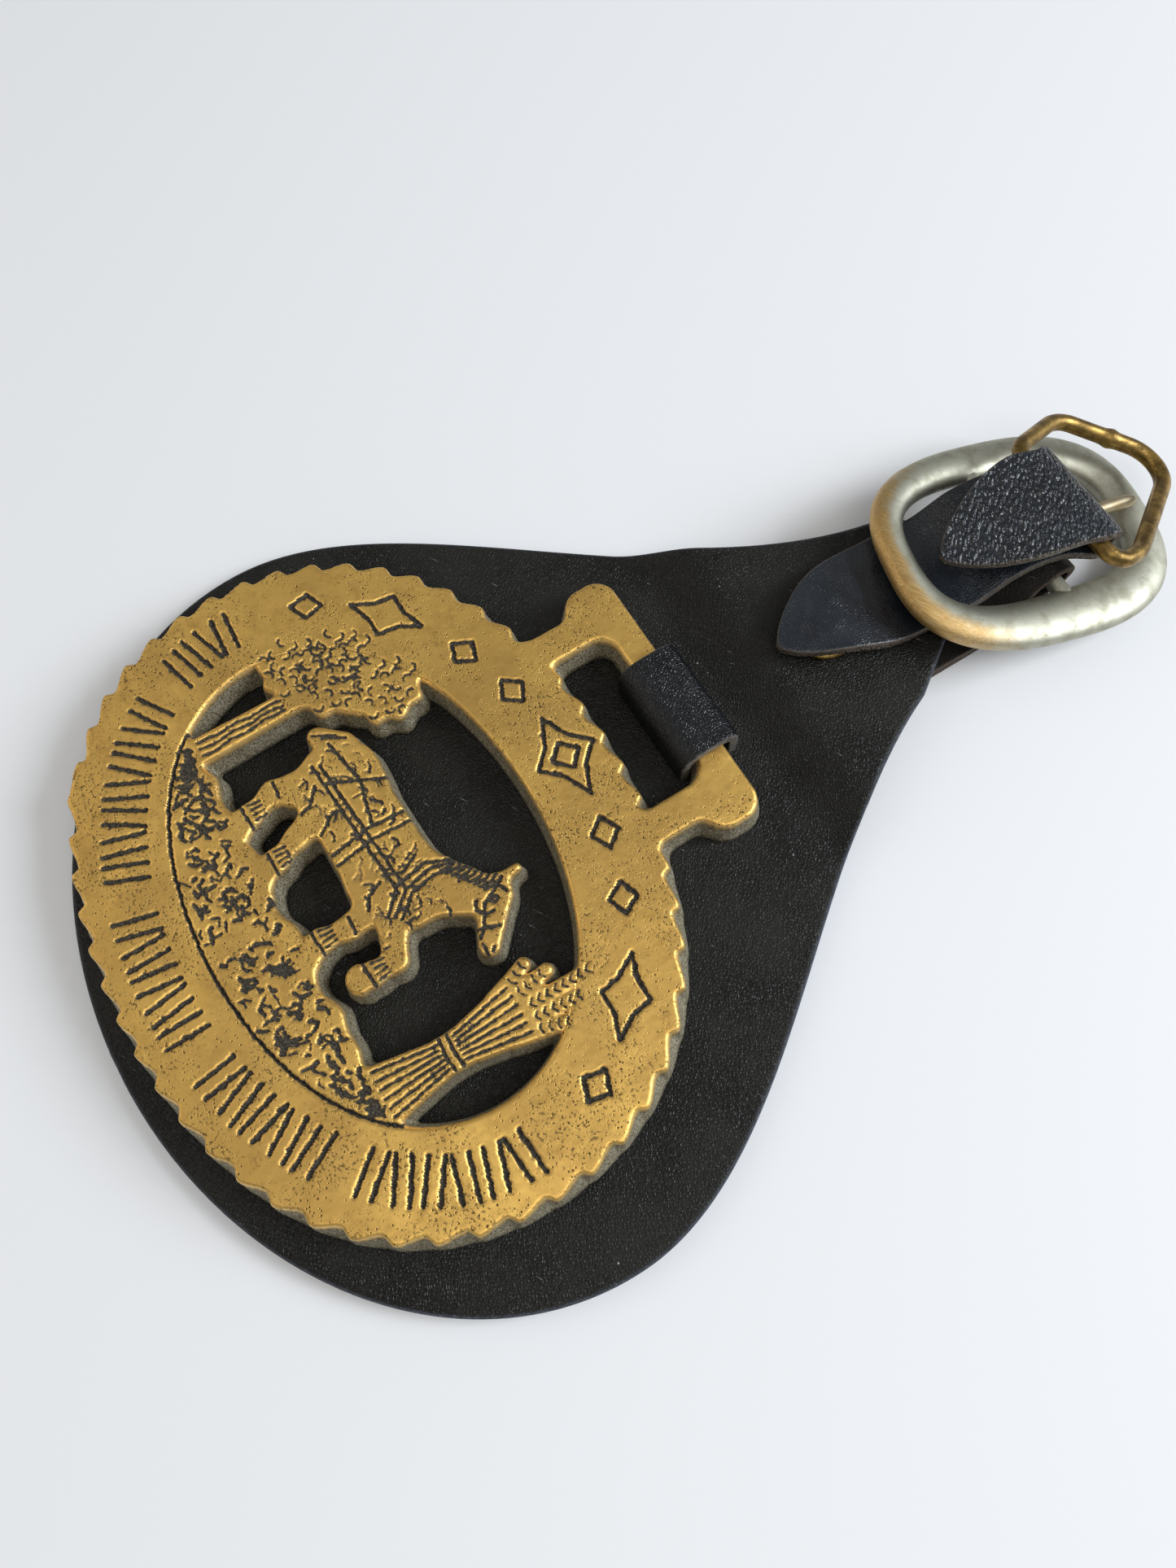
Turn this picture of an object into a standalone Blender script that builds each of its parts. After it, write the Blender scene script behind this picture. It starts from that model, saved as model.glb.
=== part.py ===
"""Horse brass on a black leather hanger, lying face up.

A cast brass plate lies on a pear-shaped leather backplate. A leather band holds its
lug. At the neck a folded strap carries an oval buckle frame with its tongue, and a
strap with two pointed ends runs through the frame and holds a bent wire loop.

The model is laid out round the middle of the brass: +X to the right, +Y up the
hanger, +Z out of the face, z = 0 on the table. The parent empty then moves the
whole hanger so that its origin is under the middle of its bounding box.
"""

import math

import bmesh
import bpy
import numpy as np
from mathutils import Vector
from mathutils.geometry import delaunay_2d_cdt

MM = 0.001
CLEAR = 0.3 * MM                # gap kept between pieces that touch

# Leather backplate
BACK_HALF_WIDTH = 48.6 * MM
BACK_LOWER_DEPTH = 39.0 * MM    # from its widest line down to its bottom edge
BACK_WIDEST_Y = 4.0 * MM
BACK_MIDDLE_X = 3.3 * MM        # the brass hangs a little left of the leather's middle
BACK_THICK = 2.4 * MM
NECK_HALF_WIDTH = 9.6 * MM
NECK_CORNER = 2.0 * MM
NECK_SLANT_FROM_Y = 69.8 * MM   # its right side is cut slanting above this
NECK_SLANT_FROM_X = 10.4 * MM
NECK_SLANT = 0.68               # how far it draws in for each millimetre up
NECK_RISE_LENGTH = 9.0 * MM

# Brass plate
BRASS_HALF_WIDTH = 42.0 * MM
BRASS_HALF_HEIGHT = 32.0 * MM
BRASS_THICK = 4.0 * MM
BRASS_SQUARENESS = 0.015        # how much the oval swells towards its four corners
BRASS_DRAFT = 0.6 * MM          # how far each wall leans out towards the back
NOTCH_COUNT = 52
NOTCH_DEPTH = 0.9 * MM          # at the face; the back edge has the part below
NOTCH_SHARE_AT_BACK = 0.15
WINDOW_HALF_WIDTH = 30.2 * MM
WINDOW_HALF_HEIGHT = 20.4 * MM
LUG_NECK_HALF_WIDTH = 14.9 * MM
LUG_HALF_WIDTH = 17.6 * MM
LUG_HEAD_FROM_Y = BRASS_HALF_HEIGHT + 3.7 * MM
LUG_TOP_Y = BRASS_HALF_HEIGHT + 10.4 * MM
LUG_BAR = 3.7 * MM              # metal above the slot
LUG_CORNER = 2.7 * MM
SLOT_HALF_WIDTH = LUG_NECK_HALF_WIDTH - 4.2 * MM
SLOT_TOP_Y = LUG_TOP_Y - LUG_BAR
SLOT_BOTTOM_Y = BRASS_HALF_HEIGHT - 4 * MM      # below the rim, which closes the slot
SLOT_CORNER = 2.6 * MM
FILLET = 1.6 * MM
SMALL_FILLET = 1.0 * MM
NUB_FROM = (-0.672 * BRASS_HALF_WIDTH, -0.722 * BRASS_HALF_HEIGHT)    # casting nub on the rim
NUB_TO = (-0.622 * BRASS_HALF_WIDTH, -0.77 * BRASS_HALF_HEIGHT)
NUB_RADIUS = 1.05 * MM
GROUND_Y = -0.51 * WINDOW_HALF_HEIGHT
GROUND_FURROWS = ((0.35 * MM, 1.7 * MM), (0.25 * MM, 0.83 * MM))      # height, length / 2 pi
GROOVE_WIDTH = 0.55 * MM
GROOVE_DEPTH = 0.5 * MM
CONTOUR_STEP = 0.35 * MM
CONTOUR_TOLERANCE = 0.04 * MM

# Places up the neck, counted from the lug's top and the buckle frame's length
FRAME_HALF_LENGTH = 17.2 * MM   # to the middle of the limb
NECK_RISE_START_Y = LUG_TOP_Y + 3.6 * MM
NECK_LENGTH = 36.6 * MM         # leather above the lug's top
NECK_END_Y = LUG_TOP_Y + NECK_LENGTH
RIVET_FROM_END = 18.0 * MM
RIVET_Y = NECK_END_Y - RIVET_FROM_END
FRAME_Y = NECK_END_Y + 0.558 * FRAME_HALF_LENGTH
WIRE_BAR_Y = FRAME_Y + 0.186 * FRAME_HALF_LENGTH

# Hanging band
BAND_WIDTH = 14.0 * MM
BAND_THICK = 1.3 * MM
BAND_MIDDLE_X = 1.9 * MM
BAND_CORNER = 1.6 * MM

# Buckle frame, its middle bar and tongue
FRAME_HALF_WIDTH = 11.6 * MM    # to the middle of the limb
FRAME_SQUARENESS = 2.86         # 2 would be an ellipse
FRAME_LIMB_WIDTH = 5.2 * MM
FRAME_LIMB_WIDER_RIGHT = 0.7 * MM
FRAME_LIMB_WIDER_FAR = 0.6 * MM
FRAME_LIMB_WIDER_SIDES = 0.6 * MM
FRAME_LIMB_THICK = 3.2 * MM
FRAME_X = 5.3 * MM
FRAME_TURN = math.radians(-11.2)
BAR_RADIUS = 1.1 * MM
BAR_ROOM = 0.6 * MM             # inside the strap's fold round it
TONGUE_RADIUS = 0.85 * MM
TONGUE_GAP = 1.0 * MM           # free leather on each side of the tongue
TONGUE_SHORT_OF = 0.6 * MM      # its tip stops before the middle of the far limb

# Straps
STRAP_WIDTH = 13.8 * MM
STRAP_THICK = 1.4 * MM
STRAP_POINT_LENGTH = 15.0 * MM
STRAP_TIP_HALF_WIDTH = 0.5 * MM
STRAP_POINT_FULLNESS = 0.65     # 1 would be a plain sine arch
STRAP_FOLD_X = 6.8 * MM         # its middle where it folds round the wire
BUCKLE_STRAP_WIDTH = 14.6 * MM
BUCKLE_STRAP_X = 6.2 * MM       # its middle behind the neck
BUCKLE_STRAP_BAR_X = 5.4 * MM   # its middle at the bar
BUCKLE_STRAP_THICK = 1.1 * MM
BUCKLE_STRAP_END_Y = RIVET_Y - 5.0 * MM

# Rivet through the neck
RIVET_X = 3.0 * MM
RIVET_SHANK_RADIUS = 1.2 * MM
RIVET_HEAD_RADIUS = 3.6 * MM
RIVET_HEAD_HEIGHT = 1.0 * MM
RIVET_HEAD_SIDE = 0.25 * MM     # upright edge below the dome

# Wire loop
WIRE_RADIUS = 1.1 * MM
WIRE_SIDE_ROOM = 0.2 * MM       # free straight bar beyond each edge of the strap
WIRE_REACH = 20.6 * MM          # from its bar to its far corner
WIRE_BAR_CORNER = 2.3 * MM
WIRE_BOW_CORNER = 4.4 * MM

# Heights above the table that stack up from the sizes above
BUCKLE_STRAP_LOWER_Z = BUCKLE_STRAP_THICK / 2 + 0.02 * MM
BUCKLE_STRAP_UPPER_Z = BUCKLE_STRAP_LOWER_Z + BUCKLE_STRAP_THICK + CLEAR
NECK_LIFT = BUCKLE_STRAP_UPPER_Z + BUCKLE_STRAP_THICK / 2 + CLEAR
NECK_TOP_Z = NECK_LIFT + BACK_THICK
BRASS_BACK_Z = BACK_THICK + CLEAR
BRASS_FACE_Z = BRASS_BACK_Z + BRASS_THICK
STRAP_ON_NECK_Z = NECK_TOP_Z + CLEAR + STRAP_THICK / 2
STRAP_ON_RIVET_Z = NECK_TOP_Z + RIVET_HEAD_HEIGHT + 2 * CLEAR + STRAP_THICK / 2
FRAME_FAR_Z = FRAME_LIMB_THICK / 2 + CLEAR
STRAP_EDGE_SHARE = STRAP_WIDTH / 2 / FRAME_HALF_WIDTH
FRAME_NEAR_LIFT = 0.45 * FRAME_HALF_LENGTH * (1 - (1 - STRAP_EDGE_SHARE**FRAME_SQUARENESS)
                                              ** (1 / FRAME_SQUARENESS))
FRAME_NEAR_Z = STRAP_ON_NECK_Z + STRAP_THICK / 2 + CLEAR + FRAME_LIMB_THICK / 2 + FRAME_NEAR_LIFT
FRAME_Z = (FRAME_FAR_Z + FRAME_NEAR_Z) / 2
FRAME_TILT = math.asin((FRAME_NEAR_Z - FRAME_FAR_Z) / (2 * FRAME_HALF_LENGTH))
BUCKLE_STRAP_EYE = BAR_RADIUS + BAR_ROOM + BUCKLE_STRAP_THICK / 2
STRAP_OVER_BAR_Z = FRAME_Z + BUCKLE_STRAP_EYE + BUCKLE_STRAP_THICK / 2 + 2 * CLEAR + STRAP_THICK / 2
WIRE_EYE = WIRE_RADIUS + CLEAR + STRAP_THICK / 2
WIRE_BAR_Z = STRAP_OVER_BAR_Z + 0.5 * MM + WIRE_EYE
WIRE_DROP = WIRE_BAR_Z - (FRAME_FAR_Z + FRAME_LIMB_THICK / 2 + WIRE_RADIUS + CLEAR)
BACK_BOTTOM_Y = BACK_WIDEST_Y - BACK_LOWER_DEPTH


def clear_scene():
    for old in list(bpy.data.objects):
        bpy.data.objects.remove(old, do_unlink=True)


def make_material(name, colour, roughness, metallic):
    material = bpy.data.materials.new(name)
    material.use_nodes = True
    shader = material.node_tree.nodes["Principled BSDF"]
    shader.inputs["Base Color"].default_value = (*colour, 1.0)
    shader.inputs["Roughness"].default_value = roughness
    shader.inputs["Metallic"].default_value = metallic
    return material


def add_object(name, bm, material, parent):
    bmesh.ops.recalc_face_normals(bm, faces=bm.faces)
    mesh = bpy.data.meshes.new(name)
    bm.to_mesh(mesh)
    bm.free()
    made = bpy.data.objects.new(name, mesh)
    bpy.context.scene.collection.objects.link(made)
    mesh.shade_smooth()
    mesh.set_sharp_from_angle(angle=math.radians(35))
    if material is not None:
        mesh.materials.append(material)
    made.parent = parent
    return made


def cut(target, bm, name, parent):
    """Cut a closed shape out of an object, with the cutter kept as a wire guide."""
    cutter = add_object(name, bm, None, parent)
    cutter.hide_render = True
    cutter.display_type = "WIRE"
    modifier = target.modifiers.new(name, "BOOLEAN")
    modifier.operation = "DIFFERENCE"
    modifier.solver = "EXACT"
    modifier.use_self = True
    modifier.object = cutter


def loft(bm, rings, closed_path=False):
    """Skin a list of equal closed rings of points, with end caps on an open path."""
    rows = [[bm.verts.new(p) for p in ring] for ring in rings]
    pairs = list(zip(rows, rows[1:]))
    if closed_path:
        pairs.append((rows[-1], rows[0]))
    for row, following in pairs:
        for i in range(len(row)):
            j = (i + 1) % len(row)
            bm.faces.new((row[i], row[j], following[j], following[i]))
    if not closed_path:
        bm.faces.new(rows[0][::-1])
        bm.faces.new(rows[-1])


def box_between(bm, low, high):
    (x0, y0, z0), (x1, y1, z1) = low, high
    rings = [[(x0, y0, z), (x1, y0, z), (x1, y1, z), (x0, y1, z)] for z in (z0, z1)]
    loft(bm, rings)


def smooth_path(points, step):
    """Catmull-Rom curve through points chosen by hand, read at an even step."""
    p = np.array(points, dtype=float)
    p = np.vstack([2 * p[0] - p[1], p, 2 * p[-1] - p[-2]])
    t = np.linspace(0, 1, 24, endpoint=False)[:, None]
    runs = []
    for a, b, c, d in zip(p, p[1:], p[2:], p[3:]):
        runs.append(0.5 * (2 * b + (c - a) * t + (2 * a - 5 * b + 4 * c - d) * t**2
                           + (3 * b - a - 3 * c + d) * t**3))
    curve = np.vstack(runs + [p[-2:-1]])
    length = np.concatenate([[0], np.cumsum(np.linalg.norm(np.diff(curve, axis=0), axis=1))])
    stations = np.linspace(0, length[-1], max(2, int(length[-1] / step) + 1))
    return np.column_stack([np.interp(stations, length, curve[:, k]) for k in range(3)]), stations


# Backplate


def neck_lift(y):
    """Height of the leather's underside: flat, then up over the strap behind the neck."""
    share = np.clip((y - NECK_RISE_START_Y) / NECK_RISE_LENGTH, 0, 1)
    return NECK_LIFT * share * share * (3 - 2 * share)


def backplate_half_outline(count_low=22, count_high=34, count_end=6):
    """Right half of the pear, bottom to top: quarter ellipse, curve, rounded neck end."""
    low = [(BACK_HALF_WIDTH * math.sin(a), BACK_WIDEST_Y - BACK_LOWER_DEPTH * math.cos(a))
           for a in np.linspace(0.04, math.pi / 2, count_low, endpoint=False)]
    top = NECK_END_Y - NECK_CORNER
    start, end = np.array([BACK_HALF_WIDTH, BACK_WIDEST_Y]), np.array([NECK_HALF_WIDTH, top])
    rise = top - BACK_WIDEST_Y
    pull_up = start + np.array([0, 0.315 * rise])
    pull_down = end + np.array([0.09 * BACK_HALF_WIDTH, -0.39 * rise])
    high = []
    for t in np.linspace(0, 1, count_high):
        point = ((1 - t) ** 3 * start + 3 * (1 - t) ** 2 * t * pull_up
                 + 3 * (1 - t) * t ** 2 * pull_down + t ** 3 * end)
        high.append(tuple(point))
    corner = [(NECK_HALF_WIDTH - NECK_CORNER * (1 - math.cos(a)), top + NECK_CORNER * math.sin(a))
              for a in np.linspace(0, math.pi / 2, count_end)[1:]]
    return low + high + corner


def build_backplate(material, parent):
    bm = bmesh.new()
    rings = []
    for x, y in backplate_half_outline():
        low = float(neck_lift(y))
        slanted = NECK_SLANT_FROM_X - NECK_SLANT * (y - NECK_SLANT_FROM_Y)
        left, right = BACK_MIDDLE_X - x, BACK_MIDDLE_X + min(x, slanted)
        high = low + BACK_THICK
        rings.append([(left, y, low), (right, y, low), (right, y, high), (left, y, high)])
    loft(bm, rings)
    plate = add_object("backplate", bm, material, parent)

    slits = bmesh.new()
    for y in (BAND_FRONT_Y, BAND_BACK_Y):
        half = BAND_THICK / 2 + CLEAR
        box_between(slits, (BAND_MIDDLE_X - BAND_WIDTH / 2 - CLEAR, y - half, -MM),
                    (BAND_MIDDLE_X + BAND_WIDTH / 2 + CLEAR, y + half, BACK_THICK + MM))
    cylinder_between(slits, RIVET_SHANK_RADIUS + CLEAR, NECK_LIFT - MM, NECK_TOP_Z + MM)
    cut(plate, slits, "backplate_holes", parent)
    return plate


def cylinder_between(bm, radius, z0, z1, sides=20):
    rings = [[(RIVET_X + radius * math.cos(a), RIVET_Y + radius * math.sin(a), z)
              for a in np.arange(sides) * 2 * math.pi / sides] for z in (z0, z1)]
    loft(bm, rings)


# Brass plate, drawn as a field: negative inside the metal, in metres from its edge

def field_ellipse(x, y, half_width, half_height, squareness=0.0):
    q = np.sqrt((x / half_width) ** 2 + (y / half_height) ** 2) + 1e-9
    angle = np.arctan2(y / half_height, x / half_width)
    slope = np.sqrt((x / half_width**2) ** 2 + (y / half_height**2) ** 2) / q + 1e-9
    return (q - 1 + squareness * np.cos(4 * angle)) / slope


def field_box(x, y, mid_x, mid_y, half_x, half_y, corner):
    dx = np.abs(x - mid_x) - (half_x - corner)
    dy = np.abs(y - mid_y) - (half_y - corner)
    outside = np.hypot(np.maximum(dx, 0), np.maximum(dy, 0))
    return outside + np.minimum(np.maximum(dx, dy), 0) - corner


def field_limb(x, y, start, end, radius_start, radius_end):
    """Tapered bar with round ends."""
    run_x, run_y = end[0] - start[0], end[1] - start[1]
    along = ((x - start[0]) * run_x + (y - start[1]) * run_y) / (run_x**2 + run_y**2 + 1e-12)
    along = np.clip(along, 0, 1)
    away = np.hypot(x - start[0] - along * run_x, y - start[1] - along * run_y)
    return away - (radius_start + along * (radius_end - radius_start))


def blend(a, b, reach):
    """Union of two fields with a fillet of the given reach."""
    share = np.clip(0.5 + 0.5 * (b - a) / reach, 0, 1)
    return b + (a - b) * share - reach * share * (1 - share)


def notch_phase(x, y):
    """How many notches along the rim, by true length round the oval, clockwise."""
    angles = np.linspace(-math.pi, math.pi, 721)
    rim = np.column_stack([BRASS_HALF_WIDTH * np.cos(angles), BRASS_HALF_HEIGHT * np.sin(angles)])
    length = np.concatenate([[0], np.cumsum(np.linalg.norm(np.diff(rim, axis=0), axis=1))])
    angle = np.arctan2(y / BRASS_HALF_HEIGHT, x / BRASS_HALF_WIDTH)
    return NOTCH_COUNT * (1 - np.interp(angle, angles, length) / length[-1])


def field_rim(x, y, notch_depth):
    """Oval with slanting scoops: each drops in over its first quarter and runs out slowly."""
    step = notch_phase(x, y) % 1.0
    drop = np.clip(step / 0.26, 0, 1)
    run_out = np.clip((step - 0.26) / 0.74, 0, 1)
    scoop = notch_depth * drop**2 * (3 - 2 * drop) * (1 - run_out**2 * (3 - 2 * run_out))
    rim = field_ellipse(x, y, BRASS_HALF_WIDTH, BRASS_HALF_HEIGHT, BRASS_SQUARENESS) + scoop
    nub = field_limb(x, y, NUB_FROM, NUB_TO, NUB_RADIUS, NUB_RADIUS)
    return blend(rim, nub, SMALL_FILLET)


def field_slot(x, y):
    return field_box(x, y, 0, (SLOT_TOP_Y + SLOT_BOTTOM_Y) / 2, SLOT_HALF_WIDTH,
                     (SLOT_TOP_Y - SLOT_BOTTOM_Y) / 2, SLOT_CORNER)


def field_lug(x, y):
    """The two legs and the bar that the hanging band goes round."""
    neck_from_y = 0.7 * BRASS_HALF_HEIGHT
    neck_to_y = LUG_HEAD_FROM_Y + LUG_CORNER
    neck = field_box(x, y, 0, (neck_from_y + neck_to_y) / 2, LUG_NECK_HALF_WIDTH,
                     (neck_to_y - neck_from_y) / 2, MM)
    head = field_box(x, y, 0, (LUG_HEAD_FROM_Y + LUG_TOP_Y) / 2, LUG_HALF_WIDTH,
                     (LUG_TOP_Y - LUG_HEAD_FROM_Y) / 2, LUG_CORNER)
    return np.maximum(blend(neck, head, FILLET), -field_slot(x, y))


# The horse is drawn in hundredths of its height at the withers
HORSE_HEIGHT = 0.863 * WINDOW_HALF_HEIGHT
HORSE_X = -0.046 * WINDOW_HALF_WIDTH
HORSE_BLEND = 0.9 * MM
HORSE_LIMBS = (
    ("rump", (-59, 73), (-50, 72), 28, 28),
    ("barrel", (-50, 70), (16, 71), 28, 29),
    ("chest", (16, 70), (31, 74), 29, 26),
    ("neck", (34, 86), (62, 116), 22, 13),
    ("head", (63, 120), (90, 101), 12, 7),
    ("near_ear", (57, 129), (56, 141), 4, 3),
    ("near_forearm", (29, 53), (33, 31), 12, 7.5),
    ("near_cannon", (33, 31), (31, 13), 7, 7),
    ("near_fore_hoof", (31, 10), (34, 0), 8, 11),
    ("far_forearm", (40, 58), (67, 46), 11, 7.5),
    ("far_cannon", (67, 46), (67, 31), 7, 7),
    ("far_fore_hoof", (67, 28), (66, 22), 8, 10),
    ("near_thigh", (-61, 60), (-74, 31), 19, 8),
    ("near_shank", (-74, 31), (-68, 12), 7.5, 7),
    ("near_hind_hoof", (-68, 9), (-65, 0), 8, 11),
    ("far_thigh", (-46, 55), (-38, 30), 14, 7.5),
    ("far_shank", (-38, 30), (-31, 12), 7, 7),
    ("far_hind_hoof", (-31, 10), (-28, 0), 8, 10),
    ("docked_tail", (-80, 87), (-93, 74), 8, 7),
)

# Tree and sheaf are placed in hundredths of the window's half width and half height
TREE_X = -0.7815 * WINDOW_HALF_WIDTH
TREE_TRUNK_RADIUS = 1.5 * MM
TREE_CROWN = (                  # across, up, radius in millimetres
    (-78.8, 36.3, 4.8),
    (-64.2, 60.8, 4.6),
    (-90.7, 22.5, 4.3),
    (-84.8, 49.0, 4.0),
)
TREE_LOBES = 9
TREE_LOBE_HEIGHT = 0.3 * MM
SHEAF_X = 0.742 * WINDOW_HALF_WIDTH
SHEAF_WAIST_Y = -0.098 * WINDOW_HALF_HEIGHT
SHEAF_SHOULDER_Y = 0.32 * WINDOW_HALF_HEIGHT
SHEAF_RADII = (3.6 * MM, 1.9 * MM, 3.7 * MM)    # foot, waist, shoulder
SHEAF_EARS = ((-13.6, 46.0), (-7.3, 55.0), (0.7, 73.5), (7.3, 65.7), (13.2, 53.0))


def horse_point(point):
    return (HORSE_X + point[0] * HORSE_HEIGHT / 100, GROUND_Y + point[1] * HORSE_HEIGHT / 100)


def field_horse(x, y):
    unit = HORSE_HEIGHT / 100
    body = None
    for _, start, end, radius_start, radius_end in HORSE_LIMBS:
        limb = field_limb(x, y, horse_point(start), horse_point(end), radius_start * unit, radius_end * unit)
        body = limb if body is None else blend(body, limb, HORSE_BLEND)
    return body


def window_point(across, up):
    return (across * WINDOW_HALF_WIDTH / 100, up * WINDOW_HALF_HEIGHT / 100)


def field_tree(x, y):
    """A trunk with a few lobed balls of leaves that reach the ring."""
    tree = field_limb(x, y, (TREE_X, GROUND_Y - MM), (TREE_X, 0.2 * WINDOW_HALF_HEIGHT),
                      TREE_TRUNK_RADIUS * 1.2, TREE_TRUNK_RADIUS)
    for across, up, radius in TREE_CROWN:
        mid_x, mid_y = window_point(across, up)
        ball = np.hypot(x - mid_x, y - mid_y) - radius * MM
        lobes = TREE_LOBE_HEIGHT * np.cos(TREE_LOBES * np.arctan2(y - mid_y, x - mid_x))
        tree = blend(tree, ball - lobes, SMALL_FILLET)
    return tree


def field_sheaf(x, y):
    """Wheat tied at the waist, its ears fanning out into the ring."""
    foot, waist, shoulder = SHEAF_RADII
    skirt = field_limb(x, y, (SHEAF_X, GROUND_Y - MM), (SHEAF_X, SHEAF_WAIST_Y), foot, waist)
    upper = field_limb(x, y, (SHEAF_X, SHEAF_WAIST_Y), (SHEAF_X, SHEAF_SHOULDER_Y), waist, shoulder)
    sheaf = blend(skirt, upper, SMALL_FILLET)
    for across, up in SHEAF_EARS:
        lean, tip_y = window_point(across, up)
        root = (SHEAF_X + 0.6 * lean, 0.75 * SHEAF_SHOULDER_Y)
        ear = field_limb(x, y, root, (SHEAF_X + lean, tip_y), 0.9 * MM, 0.8 * MM)
        sheaf = blend(sheaf, ear, 0.6 * SMALL_FILLET)
    return sheaf


def field_ground(x, y):
    furrows = sum(height * np.sin(x / length) for height, length in GROUND_FURROWS)
    return y - GROUND_Y - furrows


def field_plate(x, y, notch_depth):
    ring = np.maximum(blend(field_rim(x, y, notch_depth), field_lug(x, y), FILLET),
                      -field_ellipse(x, y, WINDOW_HALF_WIDTH, WINDOW_HALF_HEIGHT, 0.6 * BRASS_SQUARENESS))
    above_rim = -blend(-field_slot(x, y), field_rim(x, y, notch_depth), FILLET)
    ring = np.maximum(ring, -above_rim)
    inner = field_ellipse(x, y, WINDOW_HALF_WIDTH + 2 * MM, WINDOW_HALF_HEIGHT + 2 * MM)
    scene = np.minimum(field_horse(x, y), field_tree(x, y))
    scene = np.minimum(scene, field_sheaf(x, y))
    scene = blend(scene, field_ground(x, y), SMALL_FILLET)
    return blend(ring, np.maximum(scene, inner), 0.6 * SMALL_FILLET)


def trace_contours(field, low, high, step):
    """Closed loops where the field is zero, found square by square on a grid."""
    xs = np.arange(low[0], high[0], step)
    ys = np.arange(low[1], high[1], step)
    grid_x, grid_y = np.meshgrid(xs, ys, indexing="ij")
    value = field(grid_x, grid_y)
    inside = value < 0

    def crossing(a, b):
        share = value[a] / (value[a] - value[b])
        return (xs[a[0]] + share * (xs[b[0]] - xs[a[0]]), ys[a[1]] + share * (ys[b[1]] - ys[a[1]]))

    points, links = {}, {}
    mixed = inside[:-1, :-1].astype(int) + inside[1:, :-1] + inside[1:, 1:] + inside[:-1, 1:]
    for i, j in zip(*np.nonzero((mixed > 0) & (mixed < 4))):
        corners = [(i, j), (i + 1, j), (i + 1, j + 1), (i, j + 1)]
        ends = []
        for k in range(4):
            a, b = corners[k], corners[(k + 1) % 4]
            if inside[a] != inside[b]:
                key = (min(a, b), max(a, b))
                points.setdefault(key, crossing(*key))
                ends.append((key, inside[a]))
        leaving = [key for key, was_inside in ends if was_inside]
        entering = [key for key, was_inside in ends if not was_inside]
        if len(ends) == 4 and not inside[corners[0]]:
            entering = entering[1:] + entering[:1]
        for a, b in zip(leaving, entering):
            links[a] = b
    loops = []
    while links:
        start, following = next(iter(links.items()))
        loop = []
        key = start
        while key in links:
            loop.append(points[key])
            key = links.pop(key)
        loops.append(np.array(loop))
    return [loop for loop in loops if len(loop) > 8]


def thin_loop(loop, tolerance):
    """Drop the points that a straight side can stand for."""
    def keep(first, last):
        if last - first < 2:
            return []
        a, b = loop[first], loop[last % len(loop)]
        run = b - a
        size = np.linalg.norm(run) + 1e-12
        offset = loop[first + 1:last] - a
        away = np.abs(run[0] * offset[:, 1] - run[1] * offset[:, 0]) / size
        worst = int(np.argmax(away))
        if away[worst] < tolerance:
            return []
        middle = first + 1 + worst
        return keep(first, middle) + [middle] + keep(middle, last)

    half = len(loop) // 2
    chosen = [0] + keep(0, half) + [half] + keep(half, len(loop))
    return loop[chosen]


def brass_field_at_face(x, y):
    return field_plate(x, y, NOTCH_DEPTH)


def brass_field_at_back(x, y):
    return field_plate(x, y, NOTCH_DEPTH * NOTCH_SHARE_AT_BACK) - BRASS_DRAFT


def move_to_edge(points, field, rounds=6):
    """Walk points down the field's slope until they stand on its edge."""
    small = 0.02 * MM
    moved = points.copy()
    for _ in range(rounds):
        x, y = moved[:, 0], moved[:, 1]
        value = field(x, y)
        slope = np.column_stack([field(x + small, y) - field(x - small, y),
                                 field(x, y + small) - field(x, y - small)]) / (2 * small)
        size = np.linalg.norm(slope, axis=1)[:, None]
        moved = moved - 0.7 * (slope / np.maximum(size, 0.3)) * value[:, None]
    return moved


def keep_order(back, face, rounds=12):
    """In tight corners the leaning wall crowds its points: put them back in order."""
    ahead = np.roll(face, -1, axis=0) - face
    for _ in range(rounds):
        run = np.roll(back, -1, axis=0) - back
        crowded = np.nonzero(np.sum(run * ahead, axis=1) < 0.1 * np.sum(ahead**2, axis=1))[0]
        for i in crowded:
            j = (i + 1) % len(back)
            middle = (back[i] + back[j]) / 2
            back[i] = middle - 0.08 * ahead[i]
            back[j] = middle + 0.08 * ahead[i]
    return back


def crossed_points(loops):
    """Marks, loop by loop, the ends of every side that crosses another side."""
    start = np.vstack(loops)
    end = np.vstack([np.roll(loop, -1, axis=0) for loop in loops])
    run = end - start

    def side_of(points):
        offset = points[None, :, :] - start[:, None, :]
        return np.sign(run[:, None, 0] * offset[..., 1] - run[:, None, 1] * offset[..., 0])

    straddles = side_of(start) * side_of(end) < 0
    bad = np.any(straddles & straddles.T, axis=1)
    marks, first = [], 0
    for loop in loops:
        mark = bad[first:first + len(loop)]
        marks.append(mark | np.roll(mark, 1))
        first += len(loop)
    return marks


def uncross(back_loops, face_loops, rounds=16):
    """Where the leaning wall would run into itself, stand it up straighter."""
    for _ in range(rounds):
        marks = crossed_points(back_loops)
        if not any(mark.any() for mark in marks):
            break
        for back, face, mark in zip(back_loops, face_loops, marks):
            wider = mark | np.roll(mark, 1) | np.roll(mark, -1)
            back[wider] = (back[wider] + face[wider]) / 2
    return back_loops


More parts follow.
